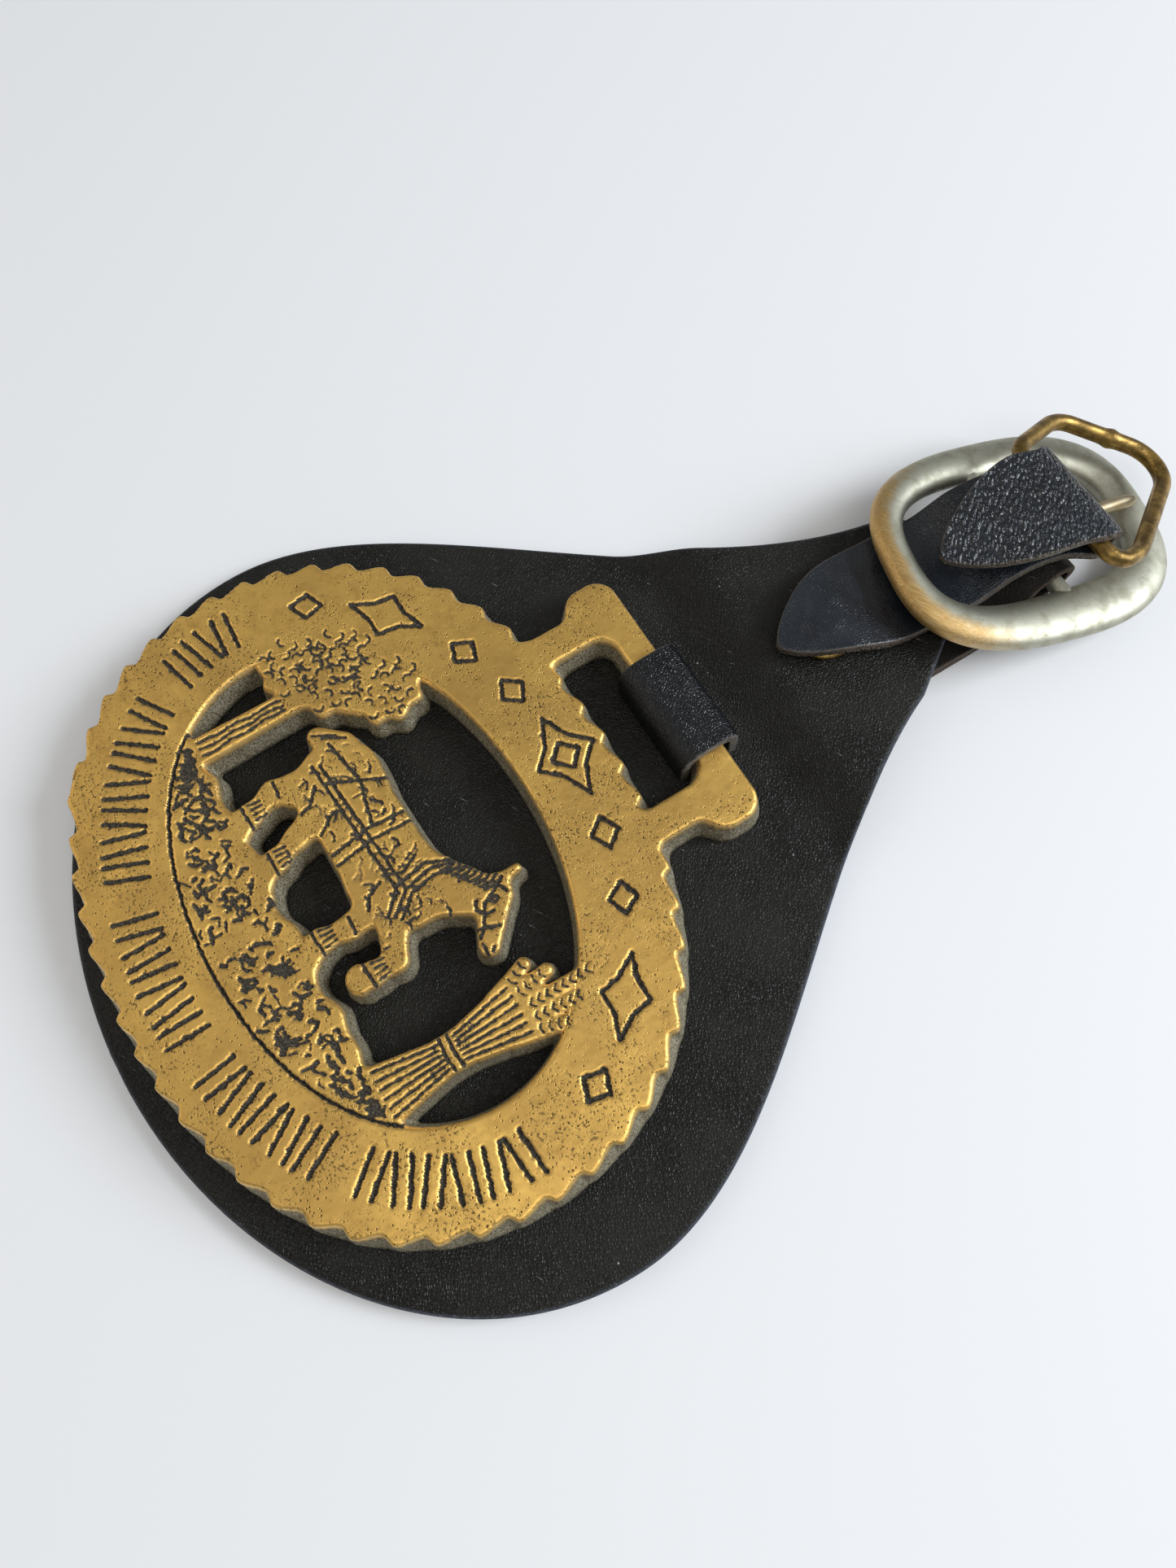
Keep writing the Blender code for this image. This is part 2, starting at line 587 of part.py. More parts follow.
def fill_between_loops(bm, rows, loops):
    """Flat triangles between an outline and its holes."""
    flat = np.vstack(loops) / MM
    verts = [vert for row in rows for vert in row]
    edges, first = [], 0
    for loop in loops:
        edges += [(first + i, first + (i + 1) % len(loop)) for i in range(len(loop))]
        first += len(loop)
    points, _, triangles, *_ = delaunay_2d_cdt([Vector(p) for p in flat], edges, [], 0, 1e-6)
    if len(points) != len(flat):
        raise ValueError("the brass outline crosses itself")
    start, end = flat[[a for a, _ in edges]], flat[[b for _, b in edges]]
    for triangle in triangles:
        x, y = np.mean([points[i] for i in triangle], axis=0)
        straddles = (start[:, 1] > y) != (end[:, 1] > y)
        with np.errstate(divide="ignore", invalid="ignore"):
            cross_x = start[:, 0] + (y - start[:, 1]) * (end[:, 0] - start[:, 0]) / (end[:, 1] - start[:, 1])
        if np.sum(straddles & (cross_x > x)) % 2:
            bm.faces.new([verts[i] for i in triangle])


# Grooves cut into the brass face: diamonds, the ground's arc, strokes round the bottom

DIAMONDS = (                    # share of the way round from the top, half sizes, inner square
    (0.0, 5.4 * MM, 3.7 * MM, 1.75 * MM),
    (0.053, 1.9 * MM, 1.6 * MM, 0),
    (0.093, 1.9 * MM, 1.6 * MM, 0),
    (0.149, 4.7 * MM, 2.7 * MM, 0),
    (0.200, 1.9 * MM, 1.6 * MM, 0),
)
BAND_MIDDLE_HALF_WIDTH = (BRASS_HALF_WIDTH + WINDOW_HALF_WIDTH) / 2
BAND_MIDDLE_HALF_HEIGHT = (BRASS_HALF_HEIGHT + WINDOW_HALF_HEIGHT) / 2
STROKE_GROUPS = (3, 7, 5, 5, 6)  # pairs of strokes in each group, from left to right
STROKE_HEIGHT = 5.0 * MM
STROKE_HALF_GAP = 0.9 * MM
STROKE_LEAN = 0.25 * MM
STROKE_INSET = 0.4 * MM          # from the band's middle line towards the window
STROKES_FROM = 0.245             # shares of the way round, from the top down the left side
STROKES_TO = 0.755
ARC_BELOW_GROUND = 1.8 * MM


def on_band(share, inset=0.0):
    """A point on the middle line of the oval band, with the directions out and along."""
    angles = np.linspace(0, 2 * math.pi, 721)
    line = np.column_stack([-BAND_MIDDLE_HALF_WIDTH * np.sin(angles),
                            BAND_MIDDLE_HALF_HEIGHT * np.cos(angles)])
    length = np.concatenate([[0], np.cumsum(np.linalg.norm(np.diff(line, axis=0), axis=1))])
    angle = np.interp(share * length[-1], length, angles)
    point = np.array([-BAND_MIDDLE_HALF_WIDTH * math.sin(angle), BAND_MIDDLE_HALF_HEIGHT * math.cos(angle)])
    along = np.array([-BAND_MIDDLE_HALF_WIDTH * math.cos(angle), -BAND_MIDDLE_HALF_HEIGHT * math.sin(angle)])
    along /= np.linalg.norm(along)
    out = np.array([along[1], -along[0]])
    return point + out * inset, out, along


def groove_prism(bm, outline, hole=None):
    """A flat cutter from above the face down to the groove's depth, maybe with a core."""
    top, floor = BRASS_FACE_Z + GROOVE_DEPTH, BRASS_FACE_Z - GROOVE_DEPTH
    if hole is None:
        loft(bm, [[(x, y, z) for x, y in outline] for z in (floor, top)])
        return
    rows = [[bm.verts.new((x, y, z)) for x, y in loop] for loop in (outline, hole) for z in (floor, top)]
    outer_floor, outer_top, inner_floor, inner_top = rows
    for i in range(len(outline)):
        j = (i + 1) % len(outline)
        bm.faces.new((outer_floor[i], outer_floor[j], outer_top[j], outer_top[i]))
        bm.faces.new((inner_floor[j], inner_floor[i], inner_top[i], inner_top[j]))
        bm.faces.new((outer_top[i], outer_top[j], inner_top[j], inner_top[i]))
        bm.faces.new((outer_floor[j], outer_floor[i], inner_floor[i], inner_floor[j]))


def diamond_outline(middle, out, along, half_length, half_width, hollow):
    """Four tips with sides that bend in by a share of their length."""
    tips = [along * half_length, out * half_width, -along * half_length, -out * half_width]
    points = []
    for i, tip in enumerate(tips):
        following = tips[(i + 1) % 4]
        points.append(middle + tip)
        points.append(middle + (tip + following) / 2 * (1 - hollow))
    return points


def groove_cutters():
    bm = bmesh.new()
    for share, half_length, half_width, inner in DIAMONDS:
        for side in ({share, 1 - share} if share else {0.0}):
            middle, out, along = on_band(side)
            hollow = 0.2 if half_length > 3 * MM else 0.0
            sizes = [(half_length, half_width)] + ([(inner, inner)] if inner else [])
            for length, width in sizes:
                outer = diamond_outline(middle, out, along, length, width, hollow)
                shrink = GROOVE_WIDTH * 1.5
                core = diamond_outline(middle, out, along, length - shrink,
                                       width - shrink * width / length, hollow)
                groove_prism(bm, outer, core)
    marks = sum(STROKE_GROUPS) + len(STROKE_GROUPS) - 1
    pitch = (STROKES_TO - STROKES_FROM) / marks
    slot = 0
    for group in STROKE_GROUPS:
        for _ in range(group):
            middle, out, along = on_band(STROKES_FROM + (slot + 0.5) * pitch, -STROKE_INSET)
            for shift in (-STROKE_HALF_GAP, STROKE_HALF_GAP):
                half = STROKE_HEIGHT / 2
                lean = STROKE_LEAN if slot % 2 else -STROKE_LEAN
                a = middle + along * (shift - lean) - out * half
                b = middle + along * (shift + lean) + out * half
                groove_prism(bm, [a - along * GROOVE_WIDTH / 2, a + along * GROOVE_WIDTH / 2,
                                  b + along * GROOVE_WIDTH / 2, b - along * GROOVE_WIDTH / 2])
            slot += 1
        slot += 1
    arc = arc_groove_points()
    outward = arc * (1 + GROOVE_WIDTH / WINDOW_HALF_WIDTH)
    groove_prism(bm, [tuple(p) for p in arc] + [tuple(p) for p in outward[::-1]])
    return bm


def arc_groove_points(steps=40):
    """The lower part of the window's oval, below the ground's surface, as a line."""
    first = math.asin((GROUND_Y - ARC_BELOW_GROUND) / WINDOW_HALF_HEIGHT)
    angles = np.linspace(-math.pi - first, first, steps)
    return np.column_stack([WINDOW_HALF_WIDTH * np.cos(angles), WINDOW_HALF_HEIGHT * np.sin(angles)])


def build_brass_plate(material, parent):
    low = (-BRASS_HALF_WIDTH - 3 * MM, -BRASS_HALF_HEIGHT - 3 * MM)
    high = (BRASS_HALF_WIDTH + 3 * MM, LUG_TOP_Y + 3 * MM)
    loops = trace_contours(brass_field_at_face, low, high, CONTOUR_STEP)
    loops = [thin_loop(loop, CONTOUR_TOLERANCE) for loop in loops]
    back_loops = [keep_order(move_to_edge(loop, brass_field_at_back), loop) for loop in loops]
    back_loops = uncross(back_loops, loops)
    bm = bmesh.new()
    rows = [[[bm.verts.new((x, y, z)) for x, y in loop] for loop in level]
            for level, z in ((loops, BRASS_FACE_Z), (back_loops, BRASS_BACK_Z))]
    for face_row, back_row in zip(*rows):
        for i in range(len(face_row)):
            j = (i + 1) % len(face_row)
            bm.faces.new((face_row[i], face_row[j], back_row[j], back_row[i]))
    for row, level in zip(rows, (loops, back_loops)):
        fill_between_loops(bm, row, level)
    bmesh.ops.triangulate(bm, faces=bm.faces)
    plate = add_object("brass_plate", bm, material, parent)
    cut(plate, groove_cutters(), "brass_grooves", parent)
    return plate


# Hanging band: over the lug's top bar and down through two slits

BAND_FRONT_Y = SLOT_TOP_Y - BRASS_DRAFT - CLEAR - BAND_THICK / 2
BAND_BACK_Y = LUG_TOP_Y + BRASS_DRAFT + CLEAR + BAND_THICK / 2
BAND_TOP_Z = BRASS_FACE_Z + CLEAR + BAND_THICK / 2


def strip_rings(path, half_width, thick, middle_x=None):
    """Flat strip along a path in the Y-Z plane; each ring has four corners."""
    tangent = np.gradient(path, axis=0)
    tangent[:, 0] = 0
    tangent /= np.linalg.norm(tangent, axis=1)[:, None]
    up = np.column_stack([np.zeros(len(path)), -tangent[:, 2], tangent[:, 1]])
    side = np.column_stack([np.ones(len(path)), np.zeros(len(path)), np.zeros(len(path))])
    half = np.broadcast_to(half_width, len(path))[:, None]
    corners = [path - side * half - up * thick / 2, path + side * half - up * thick / 2,
               path + side * half + up * thick / 2, path - side * half + up * thick / 2]
    return [[tuple(corner[i]) for corner in corners] for i in range(len(path))]


def build_hanging_loop(material, parent):
    shoulder_z = BAND_TOP_Z - BAND_CORNER
    points = [(BAND_MIDDLE_X, BAND_FRONT_Y, CLEAR), (BAND_MIDDLE_X, BAND_FRONT_Y, shoulder_z)]
    for a in np.linspace(0, math.pi / 2, 5)[1:]:
        inward, up = BAND_CORNER * (1 - math.cos(a)), BAND_CORNER * math.sin(a)
        points.append((BAND_MIDDLE_X, BAND_FRONT_Y + inward, shoulder_z + up))
    for a in np.linspace(math.pi / 2, 0, 5):
        inward, up = BAND_CORNER * (1 - math.cos(a)), BAND_CORNER * math.sin(a)
        points.append((BAND_MIDDLE_X, BAND_BACK_Y - inward, shoulder_z + up))
    points.append((BAND_MIDDLE_X, BAND_BACK_Y, CLEAR))
    path = np.array(points)
    bm = bmesh.new()
    loft(bm, strip_rings(path, BAND_WIDTH / 2, BAND_THICK))
    return add_object("hanging_loop", bm, material, parent)


# Buckle frame, tongue and the strap behind the neck

def frame_to_model(points):
    """From the frame's own flat plane to its place: turned, tilted and lifted."""
    p = np.atleast_2d(points)
    y_tilted = p[:, 1] * math.cos(FRAME_TILT) + p[:, 2] * math.sin(FRAME_TILT)
    z_tilted = -p[:, 1] * math.sin(FRAME_TILT) + p[:, 2] * math.cos(FRAME_TILT)
    x = p[:, 0] * math.cos(FRAME_TURN) - y_tilted * math.sin(FRAME_TURN)
    y = p[:, 0] * math.sin(FRAME_TURN) + y_tilted * math.cos(FRAME_TURN)
    return np.column_stack([x + FRAME_X, y + FRAME_Y, z_tilted + FRAME_Z])


def frame_middle_line(angle):
    """A point of the squarish oval, its outward direction and the limb's width there."""
    across, along = math.cos(angle), math.sin(angle)
    power = FRAME_SQUARENESS
    reach = (abs(across)**power + abs(along)**power) ** (-1 / power)
    across, along = across * reach, along * reach
    middle = np.array([FRAME_HALF_WIDTH * across, FRAME_HALF_LENGTH * along, 0])
    outward = np.array([math.copysign(abs(across)**(power - 1), across) / FRAME_HALF_WIDTH,
                        math.copysign(abs(along)**(power - 1), along) / FRAME_HALF_LENGTH, 0])
    outward /= np.linalg.norm(outward)
    width = (FRAME_LIMB_WIDTH + FRAME_LIMB_WIDER_RIGHT * math.cos(angle)
             + FRAME_LIMB_WIDER_FAR * math.sin(angle) + FRAME_LIMB_WIDER_SIDES * math.cos(2 * angle))
    return middle, outward, width


def middle_bar_line():
    """Both ends of the bar: square to the strap, in the frame's plane, inside the limbs."""
    end_x = FRAME_HALF_WIDTH - 0.3 * MM
    end_y = -end_x * math.tan(FRAME_TURN) / math.cos(FRAME_TILT)
    return frame_to_model(np.array([(-end_x, -end_y, 0), (end_x, end_y, 0)]))


def build_buckle_frame(material, parent, stations=72, sides=14):
    bm = bmesh.new()
    rings = []
    for a in np.arange(stations) * 2 * math.pi / stations:
        middle, outward, width = frame_middle_line(a)
        ring = [middle + outward * width / 2 * math.cos(b)
                + np.array([0, 0, FRAME_LIMB_THICK / 2 * math.sin(b)])
                for b in np.arange(sides) * 2 * math.pi / sides]
        rings.append([tuple(p) for p in frame_to_model(np.array(ring))])
    loft(bm, rings, closed_path=True)
    frame = add_object("buckle_frame", bm, material, parent)

    bar = bmesh.new()
    loft(bar, tube_rings(middle_bar_line(), BAR_RADIUS, 12))
    middle_bar = add_object("buckle_middle_bar", bar, None, parent)
    middle_bar.hide_render = True
    middle_bar.display_type = "WIRE"
    join = frame.modifiers.new("middle_bar", "BOOLEAN")
    join.operation = "UNION"
    join.solver = "EXACT"
    join.object = middle_bar
    return frame


def tube_rings(path, radius, sides, closed=False):
    """Round tube along a path, its rings carried on without twist."""
    count = len(path)
    if closed:
        tangent = np.roll(path, -1, axis=0) - np.roll(path, 1, axis=0)
    else:
        tangent = np.gradient(path, axis=0)
    tangent /= np.linalg.norm(tangent, axis=1)[:, None]
    side = Vector((1, 0, 0)) if abs(tangent[0][0]) < 0.8 else Vector((0, 0, 1))
    rings = []
    for i in range(count):
        along = Vector(tangent[i])
        side = (side - along * side.dot(along)).normalized()
        other = along.cross(side)
        middle = Vector(path[i])
        rings.append([tuple(middle + radius * (math.cos(b) * side + math.sin(b) * other))
                      for b in np.arange(sides) * 2 * math.pi / sides])
    return rings


def build_tongue(material, parent):
    """A hook round the middle bar, then a straight prong to the far limb's top."""
    eye = BAR_RADIUS + CLEAR + TONGUE_RADIUS
    turn = np.radians(np.arange(-30, -331, -25))
    points = [(0, eye * math.cos(a), eye * math.sin(a)) for a in turn]
    last = points[-1]
    tip_y = FRAME_HALF_LENGTH - TONGUE_SHORT_OF
    tip_z = FRAME_LIMB_THICK / 2 + TONGUE_RADIUS + CLEAR
    run = np.linspace(0, 1, 8)[1:]
    for t in run:
        ease = t * t * (3 - 2 * t)
        points.append((0, last[1] + t * (tip_y - last[1]), last[2] + ease * (tip_z - last[2])))
    bm = bmesh.new()
    loft(bm, tube_rings(frame_to_model(np.array(points)), TONGUE_RADIUS, 10))
    return add_object("tongue", bm, material, parent)


def build_buckle_strap(material, parent):
    """Thin strap folded round the middle bar, both layers behind the neck."""
    eye = BUCKLE_STRAP_EYE
    points = [(BUCKLE_STRAP_X, BUCKLE_STRAP_END_Y, BUCKLE_STRAP_UPPER_Z),
              (BUCKLE_STRAP_X, NECK_END_Y - 8 * MM, BUCKLE_STRAP_UPPER_Z),
              (BUCKLE_STRAP_X, NECK_END_Y + 0.5 * MM, BUCKLE_STRAP_UPPER_Z)]
    first = math.radians(124)
    lead = 2.5 * MM
    points.append((BUCKLE_STRAP_BAR_X, FRAME_Y + eye * math.cos(first) - lead * math.sin(first),
                   FRAME_Z + eye * math.sin(first) + lead * math.cos(first)))
    for a in np.radians(np.arange(124, -80, -14)):
        points.append((BUCKLE_STRAP_BAR_X, FRAME_Y + eye * math.cos(a), FRAME_Z + eye * math.sin(a)))
    points += [(BUCKLE_STRAP_BAR_X, NECK_END_Y + 4.5 * MM, BUCKLE_STRAP_LOWER_Z + 0.9 * MM),
               (BUCKLE_STRAP_X, NECK_END_Y + 1.0 * MM, BUCKLE_STRAP_LOWER_Z + 0.1 * MM),
               (BUCKLE_STRAP_X, NECK_END_Y - 8 * MM, BUCKLE_STRAP_LOWER_Z),
               (BUCKLE_STRAP_X, BUCKLE_STRAP_END_Y, BUCKLE_STRAP_LOWER_Z)]
    path, _ = smooth_path(points, 0.9 * MM)
    bm = bmesh.new()
    loft(bm, strip_rings(path, BUCKLE_STRAP_WIDTH / 2, BUCKLE_STRAP_THICK))
    strap = add_object("buckle_strap", bm, material, parent)

    holes = bmesh.new()
    cylinder_between(holes, RIVET_SHANK_RADIUS + CLEAR, -MM, BUCKLE_STRAP_UPPER_Z + MM)
    half = TONGUE_RADIUS + TONGUE_GAP
    reach = eye + BUCKLE_STRAP_THICK + MM
    corners = [(-half, -reach, -reach), (half, -reach, -reach), (half, reach, -reach), (-half, reach, -reach)]
    lower = [tuple(p) for p in frame_to_model(np.array(corners))]
    upper = [tuple(p) for p in frame_to_model(np.array([(x, y, reach) for x, y, _ in corners]))]
    loft(holes, [lower, upper])
    cut(strap, holes, "buckle_strap_holes", parent)
    return strap


# Pointed strap, wire loop and rivet

def pointed_half_width(distance):
    """Half width of a strap end: an arch that closes towards its tip."""
    share = np.clip(distance / STRAP_POINT_LENGTH, 0, 1)
    arch = np.sin(share * math.pi / 2) ** STRAP_POINT_FULLNESS
    return np.maximum(STRAP_WIDTH / 2 * arch, STRAP_TIP_HALF_WIDTH)


def build_pointed_strap(material, parent):
    """From the tip on the neck, over the middle bar, round the wire and back on top."""
    over_z = STRAP_OVER_BAR_Z
    points = [(2.2 * MM, RIVET_Y - 6.4 * MM, STRAP_ON_RIVET_Z - 0.5 * MM),
              (2.0 * MM, RIVET_Y + 0.6 * MM, STRAP_ON_RIVET_Z + 0.2 * MM),
              (2.4 * MM, RIVET_Y + 7.0 * MM, STRAP_ON_NECK_Z + 0.15 * MM),
              (2.8 * MM, NECK_END_Y - 5.4 * MM, STRAP_ON_NECK_Z + 0.1 * MM),
              (3.2 * MM, NECK_END_Y - 0.5 * MM, STRAP_ON_NECK_Z + 0.2 * MM),
              (3.5 * MM, FRAME_Y - 4.8 * MM, over_z - 1.1 * MM),
              (4.6 * MM, FRAME_Y, over_z)]
    for a in np.radians([-90, -60, -30, 0, 30, 60, 90]):
        points.append((STRAP_FOLD_X, WIRE_BAR_Y + WIRE_EYE * math.cos(a),
                       WIRE_BAR_Z + WIRE_EYE * math.sin(a)))
    top_z = WIRE_BAR_Z + WIRE_EYE
    points += [(5.7 * MM, FRAME_Y, top_z),
               (5.3 * MM, FRAME_Y - 4.8 * MM, top_z - 0.6 * MM),
               (5.1 * MM, FRAME_Y - 9.3 * MM, top_z - 1.5 * MM),
               (4.7 * MM, FRAME_Y - 13.2 * MM, top_z - 2.6 * MM)]
    path, stations = smooth_path(points, 1.0 * MM)
    half = np.minimum(pointed_half_width(stations), pointed_half_width(stations[-1] - stations))
    bm = bmesh.new()
    loft(bm, strip_rings(path, half, STRAP_THICK))
    return add_object("pointed_strap", bm, material, parent)


def rounded_corners(corners, radii, steps=5):
    """Closed outline through corners, each cut by an arc of its own radius."""
    points = []
    for i, (corner, radius) in enumerate(zip(corners, radii)):
        before = (corners[i - 1] - corner) / np.linalg.norm(corners[i - 1] - corner)
        after_corner = corners[(i + 1) % len(corners)]
        after = (after_corner - corner) / np.linalg.norm(after_corner - corner)
        half_angle = math.acos(np.clip(before @ after, -1, 1)) / 2
        reach = radius / math.tan(half_angle)
        start, end = corner + before * reach, corner + after * reach
        middle = corner + (before + after) / np.linalg.norm(before + after) * radius / math.sin(half_angle)
        first, last = start - middle, end - middle
        sweep = math.acos(np.clip(first @ last / radius**2, -1, 1))
        for t in np.linspace(0, 1, steps):
            spoke = math.sin((1 - t) * sweep) * first + math.sin(t * sweep) * last
            points.append(middle + spoke / math.sin(sweep))
    return np.array(points)


def wire_path():
    """Bent by hand: a bar in the leather's fold and an uneven bow beyond it."""
    half = STRAP_WIDTH / 2 + WIRE_SIDE_ROOM + WIRE_BAR_CORNER
    plan = ((-0.98, 0.0), (-1.2, 0.45), (0.0, 0.99), (0.968, 0.228), (1.02, 0.0))
    slope = WIRE_DROP / WIRE_REACH
    corners = [np.array([STRAP_FOLD_X + across * half, WIRE_BAR_Y + along * WIRE_REACH,
                         WIRE_BAR_Z - slope * along * WIRE_REACH]) for across, along in plan]
    radii = [WIRE_BAR_CORNER, WIRE_BOW_CORNER, WIRE_BOW_CORNER, WIRE_BOW_CORNER, WIRE_BAR_CORNER]
    return rounded_corners(corners, radii)


def build_wire_loop(material, parent):
    bm = bmesh.new()
    loft(bm, tube_rings(wire_path(), WIRE_RADIUS, 10, closed=True), closed_path=True)
    return add_object("wire_loop", bm, material, parent)


def build_rivet(material, parent):
    """Turned rivet: flat tail under the straps, shank, low domed head on the neck."""
    head_z = NECK_TOP_Z + CLEAR
    profile = [(RIVET_SHANK_RADIUS, 0.1 * MM), (RIVET_SHANK_RADIUS, head_z), (RIVET_HEAD_RADIUS, head_z)]
    for a in np.linspace(0, math.pi / 2, 5)[:-1]:
        profile.append((RIVET_HEAD_RADIUS * math.cos(a) ** 0.6 if a else RIVET_HEAD_RADIUS,
                        head_z + RIVET_HEAD_SIDE + (RIVET_HEAD_HEIGHT - RIVET_HEAD_SIDE) * math.sin(a)))
    bm = bmesh.new()
    sides = 24
    rings = [[(RIVET_X + r * math.cos(a), RIVET_Y + r * math.sin(a), z)
              for a in np.arange(sides) * 2 * math.pi / sides] for r, z in profile]
    loft(bm, rings)
    return add_object("neck_rivet", bm, material, parent)


def main():
    clear_scene()
    hanger = bpy.data.objects.new("hanger", None)
    wire_top_y = wire_path()[:, 1].max() + WIRE_RADIUS
    hanger.location = (-BACK_MIDDLE_X, -(wire_top_y + BACK_BOTTOM_Y) / 2, 0)
    bpy.context.scene.collection.objects.link(hanger)

    brass = make_material("brass", (0.52, 0.33, 0.12), 0.38, 1.0)
    leather = make_material("black_leather", (0.012, 0.012, 0.013), 0.42, 0.0)
    strap_leather = make_material("grained_leather", (0.016, 0.017, 0.02), 0.38, 0.0)
    nickel = make_material("worn_nickel", (0.62, 0.56, 0.42), 0.3, 1.0)
    wire = make_material("aged_brass_wire", (0.38, 0.22, 0.07), 0.35, 1.0)

    build_backplate(leather, hanger)
    build_brass_plate(brass, hanger)
    build_hanging_loop(leather, hanger)
    build_buckle_frame(nickel, hanger)
    build_tongue(nickel, hanger)
    build_buckle_strap(leather, hanger)
    build_pointed_strap(strap_leather, hanger)
    build_wire_loop(wire, hanger)
    build_rivet(brass, hanger)


main()
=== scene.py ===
"""The looks of a horse brass on its black leather hanger, lying on a pale table.

The hanger is laid out round the middle of the brass: +X to the right, +Y up the hanger
and +Z out of the face. skin() adds HANG, which moves a piece to where the frame has it.
"""

import bpy
import numpy as np
from mathutils import Matrix, Vector
from mathutils.geometry import delaunay_2d_cdt


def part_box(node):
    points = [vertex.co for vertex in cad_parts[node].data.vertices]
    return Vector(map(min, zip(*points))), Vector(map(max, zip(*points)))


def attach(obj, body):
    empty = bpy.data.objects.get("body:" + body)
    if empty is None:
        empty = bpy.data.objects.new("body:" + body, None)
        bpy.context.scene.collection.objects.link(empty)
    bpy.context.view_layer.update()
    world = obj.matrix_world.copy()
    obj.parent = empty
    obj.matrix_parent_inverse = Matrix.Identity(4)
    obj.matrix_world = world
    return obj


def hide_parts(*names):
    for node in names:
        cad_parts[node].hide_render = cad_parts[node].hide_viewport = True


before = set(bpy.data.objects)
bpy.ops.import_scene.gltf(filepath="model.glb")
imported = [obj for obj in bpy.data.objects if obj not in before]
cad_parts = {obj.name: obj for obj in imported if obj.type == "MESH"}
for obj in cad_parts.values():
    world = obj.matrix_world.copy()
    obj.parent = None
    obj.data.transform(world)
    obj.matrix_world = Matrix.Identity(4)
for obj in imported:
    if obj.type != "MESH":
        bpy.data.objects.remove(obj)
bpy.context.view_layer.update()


# Backplate: one pear-shaped piece of thick harness leather, cut out, with its edge
# trimmed round and blackened. It lies flat under the brass and rises at the neck over
# the folded strap that is riveted behind it.

MM = 0.001
NECK_END = 79.0 * MM
BACK_SHIFT = 3.3 * MM            # the brass hangs this much left of the leather's middle
back_low, back_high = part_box("backplate")
HANG = np.array([(back_low.x + back_high.x) / 2 - BACK_SHIFT, back_high.y - NECK_END, 0.0])
BACK_THICK = 2.4 * MM
BACK_WIDEST = 4.0 * MM
BACK_HALF_WIDTH = (back_high.x - back_low.x) / 2
BACK_DEPTH = BACK_WIDEST - (back_low.y - HANG[1])
NECK_HALF_WIDTH = 9.6 * MM
NECK_CORNER = 2.0 * MM
NECK_SLANT_FROM = (10.4 * MM, 69.8 * MM)      # the right side is cut slanting above this
NECK_SLANT = 0.68
NECK_LIFT = back_high.z - BACK_THICK
NECK_RISE_START = 46.0 * MM
NECK_RISE = 9.0 * MM
PEAR_PULL_UP = 0.315             # how far the side's curve is drawn up and down, as shares of its height
PEAR_PULL_DOWN = 0.39
PEAR_SHOULDER = 0.09             # how far it is drawn out above, as a share of the half width
BACK_EDGE_RADIUS = 0.75 * MM
BACK_UNDER_RADIUS = 0.45 * MM
BACK_CUT = 0.5 * MM
BLACK_DYE = (0.0046, 0.0043, 0.0031)
# The blackened cut edge is coloured a pale bluish grey: the dark edge plus a painted sheen of the cool light
# along it, which the cut mark carries onto a thin band of the top.
BLACK_EDGE_WITH_PAINTED_SHEEN = (0.085, 0.095, 0.125)
DUST = (0.42, 0.43, 0.45)
PEBBLE_TURN = -0.55


def ease(t):
    """0 below 0, 1 above 1, and an S-shaped rise between."""
    t = np.clip(t, 0, 1)
    return t * t * (3 - 2 * t)


def swell(points, length, height, seed, waves=14):
    """Gentle unevenness: a sum of sine waves in seeded directions, about one length long."""
    rng = np.random.default_rng(seed)
    heading = rng.normal(size=(waves, points.shape[-1]))
    heading /= np.linalg.norm(heading, axis=1)[:, None]
    heading *= (2 * np.pi / length) * rng.uniform(0.6, 1.6, waves)[:, None]
    phase = rng.uniform(0, 2 * np.pi, waves)
    return height * np.sin(points @ heading.T + phase).sum(axis=-1) / np.sqrt(waves)


def skin(name, points, faces, marks=None):
    """A smooth mesh object from points and faces; marks are named numbers, one per point."""
    mesh = bpy.data.meshes.new(name)
    mesh.from_pydata((points + HANG).tolist(), [], faces)
    for mark, values in (marks or {}).items():
        layer = mesh.attributes.new(mark, "FLOAT", "POINT")
        layer.data.foreach_set("value", np.asarray(values, dtype=np.float32).ravel())
    mesh.shade_smooth()
    made = bpy.data.objects.new(name, mesh)
    bpy.context.scene.collection.objects.link(made)
    return made


def grid_faces(first, rows, columns, closed_rows=False, closed_columns=False):
    """Quads of a grid of points numbered row by row, which may close on itself."""
    i = np.arange(rows if closed_rows else rows - 1)[:, None]
    j = np.arange(columns if closed_columns else columns - 1)[None, :]
    below, beside = (i + 1) % rows, (j + 1) % columns
    quads = [i * columns + j, i * columns + beside, below * columns + beside, below * columns + j]
    return first + np.stack(np.broadcast_arrays(*quads), axis=-1).reshape(-1, 4)


def flat_piece(name, upper, lower, marks=None):
    """A thin piece from its upper and lower surface, both (along, across, 3) grids.

    The four borders of the two grids are joined by walls one face high. A mark is one
    grid of numbers for both surfaces, or a pair of grids.
    """
    rows, columns = upper.shape[:2]
    points = np.concatenate([upper.reshape(-1, 3), lower.reshape(-1, 3)])
    under = rows * columns
    top = grid_faces(0, rows, columns)
    bottom = grid_faces(under, rows, columns)[:, ::-1]
    number = np.arange(under).reshape(rows, columns)
    border = np.concatenate([number[0, :-1], number[:-1, -1], number[-1, :0:-1], number[:0:-1, 0]])
    following = np.roll(border, -1)
    walls = np.stack([following, border, border + under, following + under], axis=1)
    faces = np.concatenate([top, bottom, walls])
    both = {}
    for mark, values in (marks or {}).items():
        above, below = values if isinstance(values, tuple) else (values, values)
        both[mark] = np.concatenate([above.ravel(), below.ravel()])
    return skin(name, points, faces.tolist(), both)


